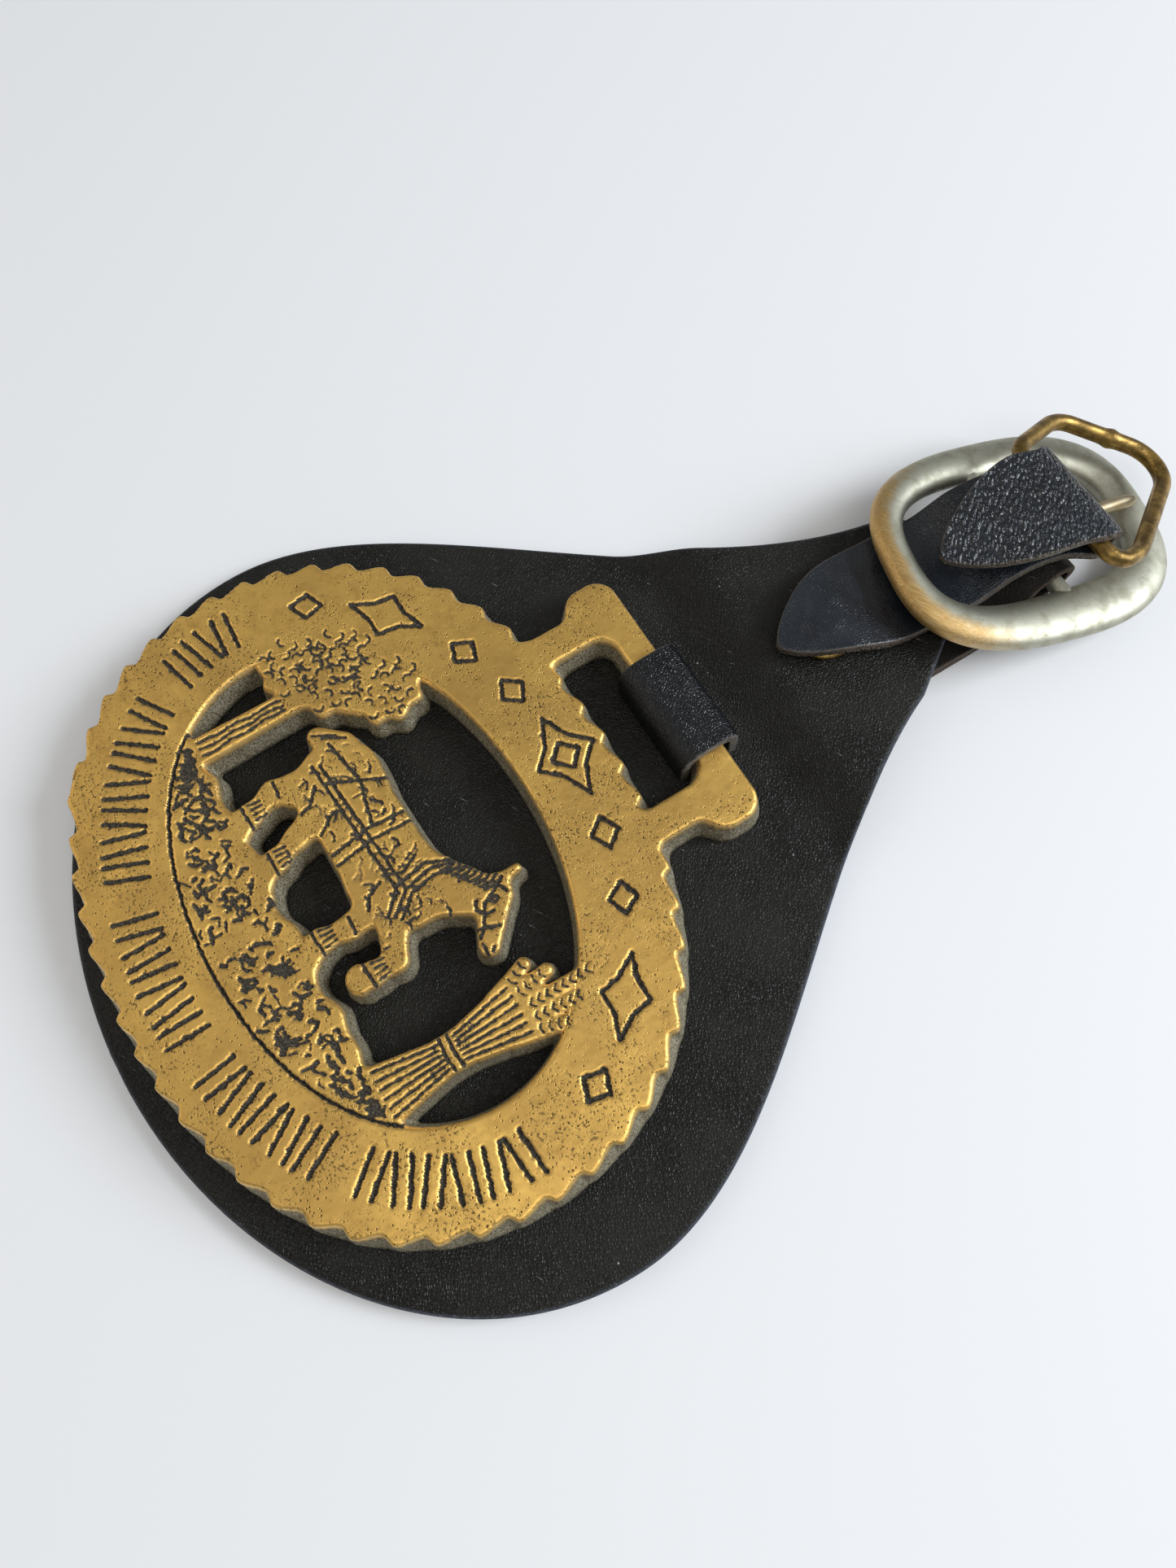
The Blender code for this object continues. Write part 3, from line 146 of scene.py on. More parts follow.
def rounded_by(distance, radius):
    """How far a rounded edge drops at a distance from it: a quarter circle."""
    inward = np.clip(radius - distance, 0, radius)
    return radius - np.sqrt(np.maximum(radius**2 - inward**2, 0))


def away_from(x, y, outline):
    """Distance from each point to the nearest straight side of a closed outline."""
    nearest = np.full(x.shape, 1.0)
    for a, b in zip(outline, np.roll(outline, -1, axis=0)):
        run = b - a
        share = np.clip(((x - a[0]) * run[0] + (y - a[1]) * run[1]) / (run @ run + 1e-18), 0, 1)
        nearest = np.minimum(nearest, np.hypot(x - a[0] - share * run[0], y - a[1] - share * run[1]))
    return nearest


def neck_lift(y):
    return NECK_LIFT * ease((y - NECK_RISE_START) / NECK_RISE)


def pear_half():
    """Right side of the pear, bottom to top: quarter ellipse, cubic curve, rounded corner."""
    a = np.linspace(0.04, np.pi / 2, 100, endpoint=False)
    low = np.column_stack([BACK_HALF_WIDTH * np.sin(a), BACK_WIDEST - BACK_DEPTH * np.cos(a)])
    top = NECK_END - NECK_CORNER
    rise = top - BACK_WIDEST
    start = np.array([BACK_HALF_WIDTH, BACK_WIDEST])
    end = np.array([NECK_HALF_WIDTH, top])
    pull_up = start + [0, PEAR_PULL_UP * rise]
    pull_down = end + [PEAR_SHOULDER * BACK_HALF_WIDTH, -PEAR_PULL_DOWN * rise]
    t = np.linspace(0, 1, 130)[:, None]
    high = (1 - t)**3 * start + 3 * (1 - t)**2 * t * pull_up + 3 * (1 - t) * t**2 * pull_down + t**3 * end
    b = np.linspace(0, np.pi / 2, 12)[1:]
    corner = np.column_stack([NECK_HALF_WIDTH - NECK_CORNER * (1 - np.cos(b)), top + NECK_CORNER * np.sin(b)])
    return np.concatenate([low, high, corner])


def backplate_surfaces(across=150):
    """Level lines across the pear, closer at both edges; thickness falls to the round edge."""
    half = pear_half()
    u = np.sin(np.linspace(-np.pi / 2, np.pi / 2, across))
    slanted = NECK_SLANT_FROM[0] - NECK_SLANT * (half[:, 1] - NECK_SLANT_FROM[1])
    right = np.column_stack([np.minimum(half[:, 0], slanted), half[:, 1]])
    x = BACK_SHIFT + np.where(u > 0, right[:, :1], half[:, :1]) * u
    y = np.broadcast_to(half[:, 1:], x.shape)
    outline = np.concatenate([right, half[::-1] * [-1, 1]])[::3] + [BACK_SHIFT, 0]
    inset = away_from(x, y, outline)
    inset[:, [0, -1]] = 0
    inset[-1] = 0
    flat = np.stack([x, y], axis=-1)
    uneven = swell(flat, 23 * MM, 0.05 * MM, 3) * ease(inset / (6 * MM))
    upper = neck_lift(y) + BACK_THICK - rounded_by(inset, BACK_EDGE_RADIUS) + uneven
    lower = neck_lift(y) + rounded_by(inset, BACK_UNDER_RADIUS)
    return np.dstack([x, y, upper]), np.dstack([x, y, lower]), 1 - ease(inset / BACK_CUT)


class Reading:
    """One output of a finish's nodes; arithmetic on it adds Math nodes."""

    def __init__(self, finish, socket):
        self.finish = finish
        self.socket = socket

    def maths(self, operation, *values):
        return self.finish.node("ShaderNodeMath", {"operation": operation}, dict(enumerate(values)))

    def __add__(self, other):
        return self.maths("ADD", self, other)

    def __sub__(self, other):
        return self.maths("SUBTRACT", self, other)

    def __rsub__(self, other):
        return self.maths("SUBTRACT", other, self)

    def __mul__(self, other):
        return self.maths("MULTIPLY", self, other)

    __radd__ = __add__
    __rmul__ = __mul__

    def between(self, low, high):
        """0 at low, 1 at high, with a soft start and end; low may be the larger."""
        return self.finish.node("ShaderNodeMapRange", {"interpolation_type": "SMOOTHSTEP"},
                                {"Value": self, "From Min": low, "From Max": high})


class Finish:
    """A material and the nodes that work out what varies over its surface."""

    def __init__(self, name, **constants):
        self.material = bpy.data.materials.new(name)
        self.material.use_nodes = True
        self.tree = self.material.node_tree
        self.shader = self.tree.nodes["Principled BSDF"]
        for socket, value in constants.items():
            self.shader.inputs[socket.replace("_", " ")].default_value = value
        self.where = self.node("ShaderNodeTexCoord", {}, {}, "Object")

    def node(self, kind, settings, values, output=0):
        """Add a node: its settings first, then the values or links of its sockets."""
        node = self.tree.nodes.new(kind)
        for setting, value in settings.items():
            setattr(node, setting, value)
        for socket, value in values.items():
            if isinstance(value, Reading):
                self.tree.links.new(value.socket, node.inputs[socket])
            else:
                node.inputs[socket].default_value = value
        return Reading(self, node.outputs[output])

    def feed(self, socket, reading):
        self.tree.links.new(reading.socket, self.shader.inputs[socket])

    def mark(self, name):
        """A number stored on the points of the mesh."""
        return self.node("ShaderNodeAttribute", {"attribute_name": name}, {}, "Fac")

    def spot(self, scale, turn=(0, 0, 0)):
        """The place on the piece, turned if asked, in units of 1/scale millimetres."""
        size = [MM / s for s in (scale if isinstance(scale, tuple) else (scale,) * 3)]
        return self.node("ShaderNodeMapping", {"vector_type": "TEXTURE"},
                         {"Vector": self.where, "Scale": size, "Rotation": turn})

    def cloud(self, scale, detail=4.0, rough=0.55, turn=(0, 0, 0)):
        """Soft noise, mostly between 0.3 and 0.7, with scale cells a millimetre."""
        values = {"Vector": self.spot(scale, turn), "Scale": 1.0, "Detail": detail, "Roughness": rough}
        return self.node("ShaderNodeTexNoise", {}, values)

    def cells(self, scale, feature="F1", turn=(0, 0, 0)):
        """Distance to the middle or the border of scattered cells."""
        return self.node("ShaderNodeTexVoronoi", {"feature": feature},
                         {"Vector": self.spot(scale, turn), "Scale": 1.0}, "Distance")

    def mix(self, share, first, second):
        """First colour where share is 0, second where it is 1."""
        colours = {6: first, 7: second}
        values = {k: (*c, 1.0) if isinstance(c, tuple) else c for k, c in colours.items()}
        return self.node("ShaderNodeMix", {"data_type": "RGBA"}, {0: share, **values}, 2)

    def relief(self, height, depth_mm):
        """Bump the surface by a height of 0 to 1 times the depth."""
        bump = self.node("ShaderNodeBump", {}, {"Height": height, "Strength": 1.0, "Distance": depth_mm * MM})
        self.feed("Normal", bump)


def dress(piece, finish, slot, *nodes):
    """Put a finish on a piece, let it ride, and hide the nodes it stands for."""
    piece.data.materials.append(finish.material)
    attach(piece, "root")
    if nodes:
        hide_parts(*nodes)


def black_leather(name, dye, grain_scale, grain_depth, edge_colour, gloss=(0.38, 0.55), dust=0.5,
                  pebble_depth=0.0, shine=0.27):
    """Dyed leather: cell grain, wear that changes its gloss, dust, and a paler cut edge.

    Where the mesh is marked pebbled, a coarse slanting grain comes on top.
    """
    finish = Finish(name, Specular_IOR_Level=shine)
    wear = finish.cloud(0.12, 5.0)
    grain = finish.cells(grain_scale, "DISTANCE_TO_EDGE").between(0.0, 0.32)
    fine = finish.cloud(3.2, 3.0)
    specks = finish.cells(0.36).between(0.045, 0.03) * finish.cloud(0.3, 2.0).between(0.44, 0.56)
    hairs = (finish.cloud((0.5, 5.0, 2.0), 2.0, turn=(0, 0, 0.5)).between(0.70, 0.74)
             * finish.cloud(0.22, 2.0).between(0.52, 0.62))
    dusty = (specks + hairs * 0.5) * dust
    cut = finish.mark("cut")
    dyed = finish.mix(wear.between(0.35, 0.68), dye, tuple(2.1 * c + 0.002 for c in dye))
    raw = finish.mix(finish.cloud((1.2, 1.2, 6.0), 4.0).between(0.35, 0.65), edge_colour,
                     tuple(0.35 * c for c in edge_colour))
    colour = finish.mix(cut, dyed, raw)
    finish.feed("Base Color", finish.mix(dusty, colour, DUST))
    low, high = gloss
    finish.feed("Roughness", low + (high - low) * wear.between(0.3, 0.7) + 0.3 * cut + 0.2 * dusty)
    height = grain * 0.7 + fine * 0.3 + cut * finish.cloud(2.6, 5.0) * 2.0
    if pebble_depth:
        pebbles = finish.cells((1.5, 3.2, 2.0), "SMOOTH_F1", turn=(0, 0, PEBBLE_TURN))
        raised = finish.mark("pebbled") * (1.0 - pebbles.between(0.05, 0.75))
        height = height + raised * (pebble_depth / grain_depth)
    finish.relief(height, grain_depth)
    return finish


upper, lower, cut_edge = backplate_surfaces()
backplate = flat_piece("backplate_leather", upper, lower, {"cut": cut_edge})
harness_leather = black_leather("black_harness_leather", BLACK_DYE, 2.9, 0.085, BLACK_EDGE_WITH_PAINTED_SHEEN,
                                gloss=(0.33, 0.5), dust=0.8)
dress(backplate, harness_leather, "leather", "backplate")


# Brass plate: cast in one piece, with a filed rim of slanting scoops, a lug with a slot,
# and an oval window that holds a pierced scene. The face is rubbed smooth and gold,
# the walls are rough from the sand, and old polish and dirt fill the sunk lines.

BRASS_HALF_WIDTH = 42.0 * MM
BRASS_HALF_HEIGHT = 32.0 * MM
BRASS_SQUARENESS = 0.015
BRASS_DRAFT = 0.6 * MM
NOTCH_COUNT = 52
NOTCH_DEPTH = 0.9 * MM
NOTCH_SHARE_AT_BACK = 0.15
WINDOW_HALF_WIDTH = 30.2 * MM
WINDOW_HALF_HEIGHT = 20.4 * MM
LUG_NECK_HALF_WIDTH = 14.9 * MM
LUG_HALF_WIDTH = 17.6 * MM
LUG_HEAD_FROM = BRASS_HALF_HEIGHT + 3.7 * MM
LUG_TOP = BRASS_HALF_HEIGHT + 10.4 * MM
LUG_CORNER = 2.7 * MM
SLOT_HALF_WIDTH = LUG_NECK_HALF_WIDTH - 4.2 * MM
SLOT_TOP = LUG_TOP - 3.7 * MM
SLOT_BOTTOM = BRASS_HALF_HEIGHT - 4 * MM
SLOT_CORNER = 2.6 * MM
FILLET = 1.6 * MM
SMALL_FILLET = 1.0 * MM
NUB_FROM = (-0.672 * BRASS_HALF_WIDTH, -0.722 * BRASS_HALF_HEIGHT)
NUB_TO = (-0.622 * BRASS_HALF_WIDTH, -0.77 * BRASS_HALF_HEIGHT)
NUB_RADIUS = 1.05 * MM
plate_low, plate_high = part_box("brass_plate")
FACE_Z = plate_high.z
PLATE_BACK_Z = plate_low.z
GRID = 0.19 * MM
FACE_EDGE_RADIUS = 0.42 * MM
WALL_ROWS = 5


def oval(x, y, half_width, half_height, squareness=0.0):
    """Distance outside an ellipse, which may swell towards its four corners."""
    q = np.sqrt((x / half_width)**2 + (y / half_height)**2) + 1e-9
    angle = np.arctan2(y / half_height, x / half_width)
    slope = np.sqrt((x / half_width**2)**2 + (y / half_height**2)**2) / q + 1e-9
    return (q - 1 + squareness * np.cos(4 * angle)) / slope


def block(x, y, middle, half_x, half_y, corner):
    """Distance outside a rectangle with round corners."""
    dx = np.abs(x - middle[0]) - (half_x - corner)
    dy = np.abs(y - middle[1]) - (half_y - corner)
    return np.hypot(np.maximum(dx, 0), np.maximum(dy, 0)) + np.minimum(np.maximum(dx, dy), 0) - corner


def limb(x, y, start, end, radius_start, radius_end):
    """Distance outside a tapered bar with round ends."""
    run_x, run_y = end[0] - start[0], end[1] - start[1]
    share = np.clip(((x - start[0]) * run_x + (y - start[1]) * run_y) / (run_x**2 + run_y**2 + 1e-12), 0, 1)
    away = np.hypot(x - start[0] - share * run_x, y - start[1] - share * run_y)
    return away - (radius_start + share * (radius_end - radius_start))


def join(a, b, reach):
    """Union of two shapes with a fillet of the given reach."""
    share = np.clip(0.5 + 0.5 * (b - a) / reach, 0, 1)
    return b + (a - b) * share - reach * share * (1 - share)


def run_along(line):
    """How far along a line each of its points lies: the summed lengths of its steps."""
    return np.concatenate([[0], np.cumsum(np.linalg.norm(np.diff(line, axis=0), axis=1))])


def rim(x, y, notch_depth):
    """The oval with its scoops, which drop in fast and run out slowly, and a casting nub."""
    turn = np.linspace(-np.pi, np.pi, 721)
    line = np.column_stack([BRASS_HALF_WIDTH * np.cos(turn), BRASS_HALF_HEIGHT * np.sin(turn)])
    length = run_along(line)
    angle = np.arctan2(y / BRASS_HALF_HEIGHT, x / BRASS_HALF_WIDTH)
    step = NOTCH_COUNT * (1 - np.interp(angle, turn, length) / length[-1]) % 1.0
    scoop = notch_depth * ease(step / 0.26) * (1 - ease((step - 0.26) / 0.74))
    edge = oval(x, y, BRASS_HALF_WIDTH, BRASS_HALF_HEIGHT, BRASS_SQUARENESS) + scoop
    return join(edge, limb(x, y, NUB_FROM, NUB_TO, NUB_RADIUS, NUB_RADIUS), SMALL_FILLET)


def slot_hole(x, y):
    return block(x, y, (0, (SLOT_TOP + SLOT_BOTTOM) / 2), SLOT_HALF_WIDTH, (SLOT_TOP - SLOT_BOTTOM) / 2,
                 SLOT_CORNER)


def lug(x, y):
    """Two legs and the bar that the band goes round."""
    neck_from, neck_to = 0.7 * BRASS_HALF_HEIGHT, LUG_HEAD_FROM + LUG_CORNER
    neck = block(x, y, (0, (neck_from + neck_to) / 2), LUG_NECK_HALF_WIDTH, (neck_to - neck_from) / 2, MM)
    head = block(x, y, (0, (LUG_HEAD_FROM + LUG_TOP) / 2), LUG_HALF_WIDTH, (LUG_TOP - LUG_HEAD_FROM) / 2,
                 LUG_CORNER)
    return np.maximum(join(neck, head, FILLET), -slot_hole(x, y))


# The pierced scene, part of the same casting: a heavy horse in harness walks over
# ploughed ground between a tree and a sheaf of wheat, which all run into the oval ring.

GROUND = -0.51 * WINDOW_HALF_HEIGHT
GROUND_FURROWS = ((0.35 * MM, 1.7 * MM), (0.25 * MM, 0.83 * MM))
HORSE_UNIT = 0.00863 * WINDOW_HALF_HEIGHT
HORSE_X = -0.046 * WINDOW_HALF_WIDTH
HORSE_BLEND = 0.9 * MM
HORSE_LIMBS = (                 # start, end and the two radii, in hundredths of the withers' height
    ("rump", (-59, 73), (-50, 72), 28, 28),
    ("barrel", (-50, 70), (16, 71), 28, 29),
    ("chest", (16, 70), (31, 74), 29, 26),
    ("neck", (34, 86), (62, 116), 22, 13),
    ("head", (63, 120), (90, 101), 12, 7),
    ("near_ear", (57, 129), (56, 141), 4, 3),
    ("near_forearm", (29, 53), (33, 31), 12, 7.5),
    ("near_cannon", (33, 31), (31, 13), 7, 7),
    ("near_fore_hoof", (31, 10), (34, 0), 8, 11),
    ("far_forearm", (40, 58), (67, 46), 11, 7.5),
    ("far_cannon", (67, 46), (67, 31), 7, 7),
    ("far_fore_hoof", (67, 28), (66, 22), 8, 10),
    ("near_thigh", (-61, 60), (-74, 31), 19, 8),
    ("near_shank", (-74, 31), (-68, 12), 7.5, 7),
    ("near_hind_hoof", (-68, 9), (-65, 0), 8, 11),
    ("far_thigh", (-46, 55), (-38, 30), 14, 7.5),
    ("far_shank", (-38, 30), (-31, 12), 7, 7),
    ("far_hind_hoof", (-31, 10), (-28, 0), 8, 10),
    ("docked_tail", (-80, 87), (-93, 74), 8, 7),
)
TREE_X = -0.7815 * WINDOW_HALF_WIDTH
TREE_TRUNK_RADIUS = 1.5 * MM
TREE_CROWN = ((-78.8, 36.3, 4.8), (-64.2, 60.8, 4.6), (-90.7, 22.5, 4.3), (-84.8, 49.0, 4.0))
LEAF_LOBES = 9
LEAF_LOBE_HEIGHT = 0.3 * MM
SHEAF_X = 0.742 * WINDOW_HALF_WIDTH
SHEAF_WAIST = -0.098 * WINDOW_HALF_HEIGHT
SHEAF_SHOULDER = 0.32 * WINDOW_HALF_HEIGHT
SHEAF_RADII = (3.6 * MM, 1.9 * MM, 3.7 * MM)
SHEAF_EARS = ((-13.6, 46.0), (-7.3, 55.0), (0.7, 73.5), (7.3, 65.7), (13.2, 53.0))


def horse_at(point):
    return (HORSE_X + point[0] * HORSE_UNIT, GROUND + point[1] * HORSE_UNIT)


def in_window(across, up):
    return (across * WINDOW_HALF_WIDTH / 100, up * WINDOW_HALF_HEIGHT / 100)


def horse(x, y):
    body = None
    for _, start, end, radius_start, radius_end in HORSE_LIMBS:
        part = limb(x, y, horse_at(start), horse_at(end), radius_start * HORSE_UNIT, radius_end * HORSE_UNIT)
        body = part if body is None else join(body, part, HORSE_BLEND)
    return body


def tree(x, y):
    """A trunk with a few lobed balls of leaves."""
    shape = limb(x, y, (TREE_X, GROUND - MM), (TREE_X, 0.2 * WINDOW_HALF_HEIGHT), TREE_TRUNK_RADIUS * 1.2,
                 TREE_TRUNK_RADIUS)
    for across, up, radius in TREE_CROWN:
        mid_x, mid_y = in_window(across, up)
        lobes = LEAF_LOBE_HEIGHT * np.cos(LEAF_LOBES * np.arctan2(y - mid_y, x - mid_x))
        shape = join(shape, np.hypot(x - mid_x, y - mid_y) - radius * MM - lobes, SMALL_FILLET)
    return shape


def sheaf(x, y):
    """Wheat tied at the waist, its ears fanning out."""
    foot, waist, shoulder = SHEAF_RADII
    shape = join(limb(x, y, (SHEAF_X, GROUND - MM), (SHEAF_X, SHEAF_WAIST), foot, waist),
                 limb(x, y, (SHEAF_X, SHEAF_WAIST), (SHEAF_X, SHEAF_SHOULDER), waist, shoulder), SMALL_FILLET)
    for across, up in SHEAF_EARS:
        lean, tip = in_window(across, up)
        root = (SHEAF_X + 0.6 * lean, 0.75 * SHEAF_SHOULDER)
        ear = limb(x, y, root, (SHEAF_X + lean, tip), 0.9 * MM, 0.8 * MM)
        shape = join(shape, ear, 0.6 * SMALL_FILLET)
    return shape


def window_oval(x, y):
    return oval(x, y, WINDOW_HALF_WIDTH, WINDOW_HALF_HEIGHT, 0.6 * BRASS_SQUARENESS)


def plate(x, y, depth_share=0.0):
    """Distance outside the brass at a depth from 0 at the face to 1 at the back."""
    notch_depth = NOTCH_DEPTH * (1 - depth_share * (1 - NOTCH_SHARE_AT_BACK))
    edge = rim(x, y, notch_depth)
    ring = np.maximum(join(edge, lug(x, y), FILLET), -window_oval(x, y))
    ring = np.maximum(ring, join(-slot_hole(x, y), edge, FILLET))
    furrows = sum(height * np.sin(x / length) for height, length in GROUND_FURROWS)
    picture = np.minimum(np.minimum(horse(x, y), tree(x, y)), sheaf(x, y))
    picture = join(picture, y - GROUND - furrows, SMALL_FILLET)
    inner = oval(x, y, WINDOW_HALF_WIDTH + 2 * MM, WINDOW_HALF_HEIGHT + 2 * MM)
    return join(ring, np.maximum(picture, inner), 0.6 * SMALL_FILLET) - BRASS_DRAFT * depth_share


def walk_to(shape, x, y, rounds=5):
    """Move points down a shape's slope until they stand on its edge."""
    small = 0.02 * MM
    for _ in range(rounds):
        value = shape(x, y)
        slope_x = (shape(x + small, y) - shape(x - small, y)) / (2 * small)
        slope_y = (shape(x, y + small) - shape(x, y - small)) / (2 * small)
        steep = np.maximum(np.hypot(slope_x, slope_y), 0.3)
        x, y = x - 0.75 * slope_x / steep * value, y - 0.75 * slope_y / steep * value
    return x, y


# Engraving: the diamonds, the rows of plain strokes round the bottom, the arc where the
# scene meets the ring, and the lines that draw the harness, mane, bark, straw and soil.
# They were sunk in the casting pattern, so their sides are soft and uneven.

LINE_HALF_WIDTH = 0.30 * MM
FINE_HALF_WIDTH = 0.27 * MM
LINE_DEPTH = 0.42 * MM
FINE_DEPTH = 0.3 * MM
BAND_LINE = ((BRASS_HALF_WIDTH + WINDOW_HALF_WIDTH) / 2, (BRASS_HALF_HEIGHT + WINDOW_HALF_HEIGHT) / 2)
DIAMONDS = (                    # share of the way round from the top, half sizes, inner square
    (0.0, 5.4 * MM, 3.7 * MM, 1.75 * MM),
    (0.053, 1.9 * MM, 1.6 * MM, 0),
    (0.093, 1.9 * MM, 1.6 * MM, 0),
    (0.149, 4.7 * MM, 2.7 * MM, 0),
    (0.200, 1.9 * MM, 1.6 * MM, 0),
)
STROKE_GROUPS = (3, 7, 5, 5, 6)
STROKES_FROM = 0.245
STROKES_TO = 0.755
STROKE_HALF_HEIGHT = 2.5 * MM
STROKE_HALF_GAP = 0.9 * MM
STROKE_LEAN = 0.25 * MM
STROKE_INSET = 0.4 * MM
COAT_TICKS = 150
LEAF_CURLS = 22
GOLDEN_ANGLE = 2.4               # radians
SOIL_TICKS = 330


def on_band(share):
    """A point on the middle line of the oval band, with the directions out and along."""
    half_width, half_height = BAND_LINE
    turn = np.linspace(0, 2 * np.pi, 721)
    line = np.column_stack([-half_width * np.sin(turn), half_height * np.cos(turn)])
    length = run_along(line)
    angle = np.interp(share * length[-1], length, turn)
    along = np.array([-half_width * np.cos(angle), -half_height * np.sin(angle)])
    along /= np.linalg.norm(along)
    return (np.array([-half_width * np.sin(angle), half_height * np.cos(angle)]),
            np.array([along[1], -along[0]]), along)


def diamond_lines():
    """Closed outlines with sides that bend in on the large ones."""
    lines = []
    for share, half_length, half_width, inner in DIAMONDS:
        hollow = 0.2 if half_length > 3 * MM else 0.0
        outlines = [(half_length, half_width, hollow)]
        if inner:
            outlines.append((inner, inner, 0.0))
        for side in ((share, 1 - share) if share else (0.0,)):
            middle, out, along = on_band(side)
            for length, width, bend in outlines:
                tips = [along * length, out * width, -along * length, -out * width]
                ring = []
                for tip, following in zip(tips, tips[1:] + tips[:1]):
                    ring += [middle + tip, middle + (tip + following) / 2 * (1 - bend)]
                lines.append((ring + ring[:1], LINE_HALF_WIDTH, LINE_DEPTH))
    return lines


def stroke_lines():
    """Pairs of plain strokes across the lower band, in uneven groups."""
    marks = sum(STROKE_GROUPS) + len(STROKE_GROUPS) - 1
    slots = []
    for group in STROKE_GROUPS:
        first = slots[-1] + 2 if slots else 0
        slots += range(first, first + group)
    lines = []
    for slot in slots:
        middle, out, along = on_band(STROKES_FROM + (slot + 0.5) * (STROKES_TO - STROKES_FROM) / marks)
        middle = middle - out * STROKE_INSET
        lean = STROKE_LEAN if slot % 2 else -STROKE_LEAN
        for shift in (-STROKE_HALF_GAP, STROKE_HALF_GAP):
            foot = middle + along * (shift - lean) - out * STROKE_HALF_HEIGHT
            head = middle + along * (shift + lean) + out * STROKE_HALF_HEIGHT
            lines.append(([foot, head], LINE_HALF_WIDTH, LINE_DEPTH))
    return lines


HORSE_LINES = (                 # in hundredths of the withers' height, like the limbs
    ("eye", ((64, 119), (67, 121), (69, 118), (66, 116), (64, 119))),
    ("nostril", ((93, 103), (95, 101))),
    ("mouth", ((96, 97), (88, 98))),
    ("cheek", ((62, 108), (67, 105), (72, 109), (73, 115))),
    ("cheek_strap", ((58, 128), (66, 112), (80, 103), (84, 98))),
    ("noseband", ((83, 113), (78, 99))),
    ("brow", ((56, 124), (66, 128))),
    ("collar_back", ((31, 112), (22, 92), (26, 70), (40, 56))),
    ("collar_front", ((39, 116), (32, 94), (35, 76), (47, 62))),
    ("hame", ((34, 118), (27, 93), (31, 74), (43, 59))),
    ("saddle_front", ((-8, 99), (-10, 72), (-6, 44))),
    ("saddle_back", ((-16, 98), (-18, 72), (-14, 44))),
    ("trace_top", ((30, 74), (-8, 71), (-74, 66))),
    ("trace_bottom", ((31, 69), (-8, 66), (-76, 61))),
    ("hip_strap", ((-42, 100), (-50, 84), (-60, 64))),
    ("breeching", ((-18, 76), (-50, 84), (-84, 78))),
    ("flank", ((-40, 58), (-34, 50), (-30, 44))),
    ("stifle", ((-62, 56), (-52, 48), (-50, 40))),
    ("elbow", ((18, 62), (22, 52), (30, 47))),
    ("shoulder", ((14, 90), (20, 78), (15, 66))),
    ("knee", ((27, 34), (39, 33))),
    ("hock", ((-80, 34), (-68, 33))),
    ("near_fore_coronet", ((23, 9), (41, 10))),
    ("near_hind_coronet", ((-76, 8), (-58, 9))),
    ("far_hind_coronet", ((-38, 9), (-22, 9))),
    ("far_fore_coronet", ((58, 27), (75, 28))),
)


def fine(points, width=1.0, depth=1.0):
    """A fine line, its half width and depth given as shares of the usual ones."""
    return points, width * FINE_HALF_WIDTH, depth * FINE_DEPTH


def horse_lines():
    """The harness, locks of mane, ticks over the coat, feathered feet and the docked tail."""
    lines = [fine([horse_at(point) for point in points]) for _, points in HORSE_LINES]
    for t in np.linspace(0, 1, 9):
        root = np.array([30 + 26 * t, 112 + 18 * t])
        lines.append(fine([horse_at(root), horse_at(root + [3, -6]), horse_at(root + [2, -13])]))
    rng = np.random.default_rng(17)
    for _ in range(COAT_TICKS):
        spot = np.array([rng.uniform(-84, 58), rng.uniform(44, 108)])
        heading = rng.normal(-0.3, 0.9)
        run = rng.uniform(3, 8) * np.array([np.cos(heading), np.sin(heading)])
        if horse(*horse_at(spot)) < -0.9 * MM:
            tick = [horse_at(spot), horse_at(spot + 0.5 * run + [0, 1.5]), horse_at(spot + run)]
            lines.append(fine(tick, rng.uniform(0.55, 0.95), rng.uniform(0.5, 0.95)))
    for foot_x, foot_y in ((31, 12), (-68, 12), (-31, 12), (67, 31)):
        for lean in (-6, -2, 2, 6):
            hair = [horse_at((foot_x + 0.8 * lean, foot_y + 9)), horse_at((foot_x + lean, foot_y + 1))]
            lines.append(fine(hair, 0.8, 0.8))
    for shift in (-3, 2):
        lines.append(fine([horse_at((-84 + shift, 88 + shift)), horse_at((-92 + shift, 74 + shift))], 0.8))
    return lines


def tree_lines():
    """Wavy bark, and short curls of leaves spread over each ball by the golden angle."""
    lines = []
    for shift in (-0.9, 0.0, 0.9):
        y = np.linspace(GROUND + 0.6 * MM, 0.05 * WINDOW_HALF_HEIGHT, 9)
        x = TREE_X + shift * MM * (1 - 0.25 * (y - GROUND) / (10 * MM))
        x = x + 0.16 * MM * np.sin(y / (0.7 * MM) + shift)
        lines.append(fine(list(zip(x, y)), 0.8))
    for across, up, radius in TREE_CROWN:
        mid_x, mid_y = in_window(across, up)
        for k in range(LEAF_CURLS):
            reach = 0.92 * radius * MM * np.sqrt((k + 0.5) / LEAF_CURLS)
            angle = GOLDEN_ANGLE * k
            spot = np.array([mid_x + reach * np.cos(angle), mid_y + reach * np.sin(angle)])
            turn = np.linspace(0.2, 2.9, 5) + 1.3 * k
            curl = spot + 0.55 * MM * np.column_stack([np.cos(turn), np.sin(turn)])
            lines.append(fine(list(curl), 0.8, 0.8))
    return lines


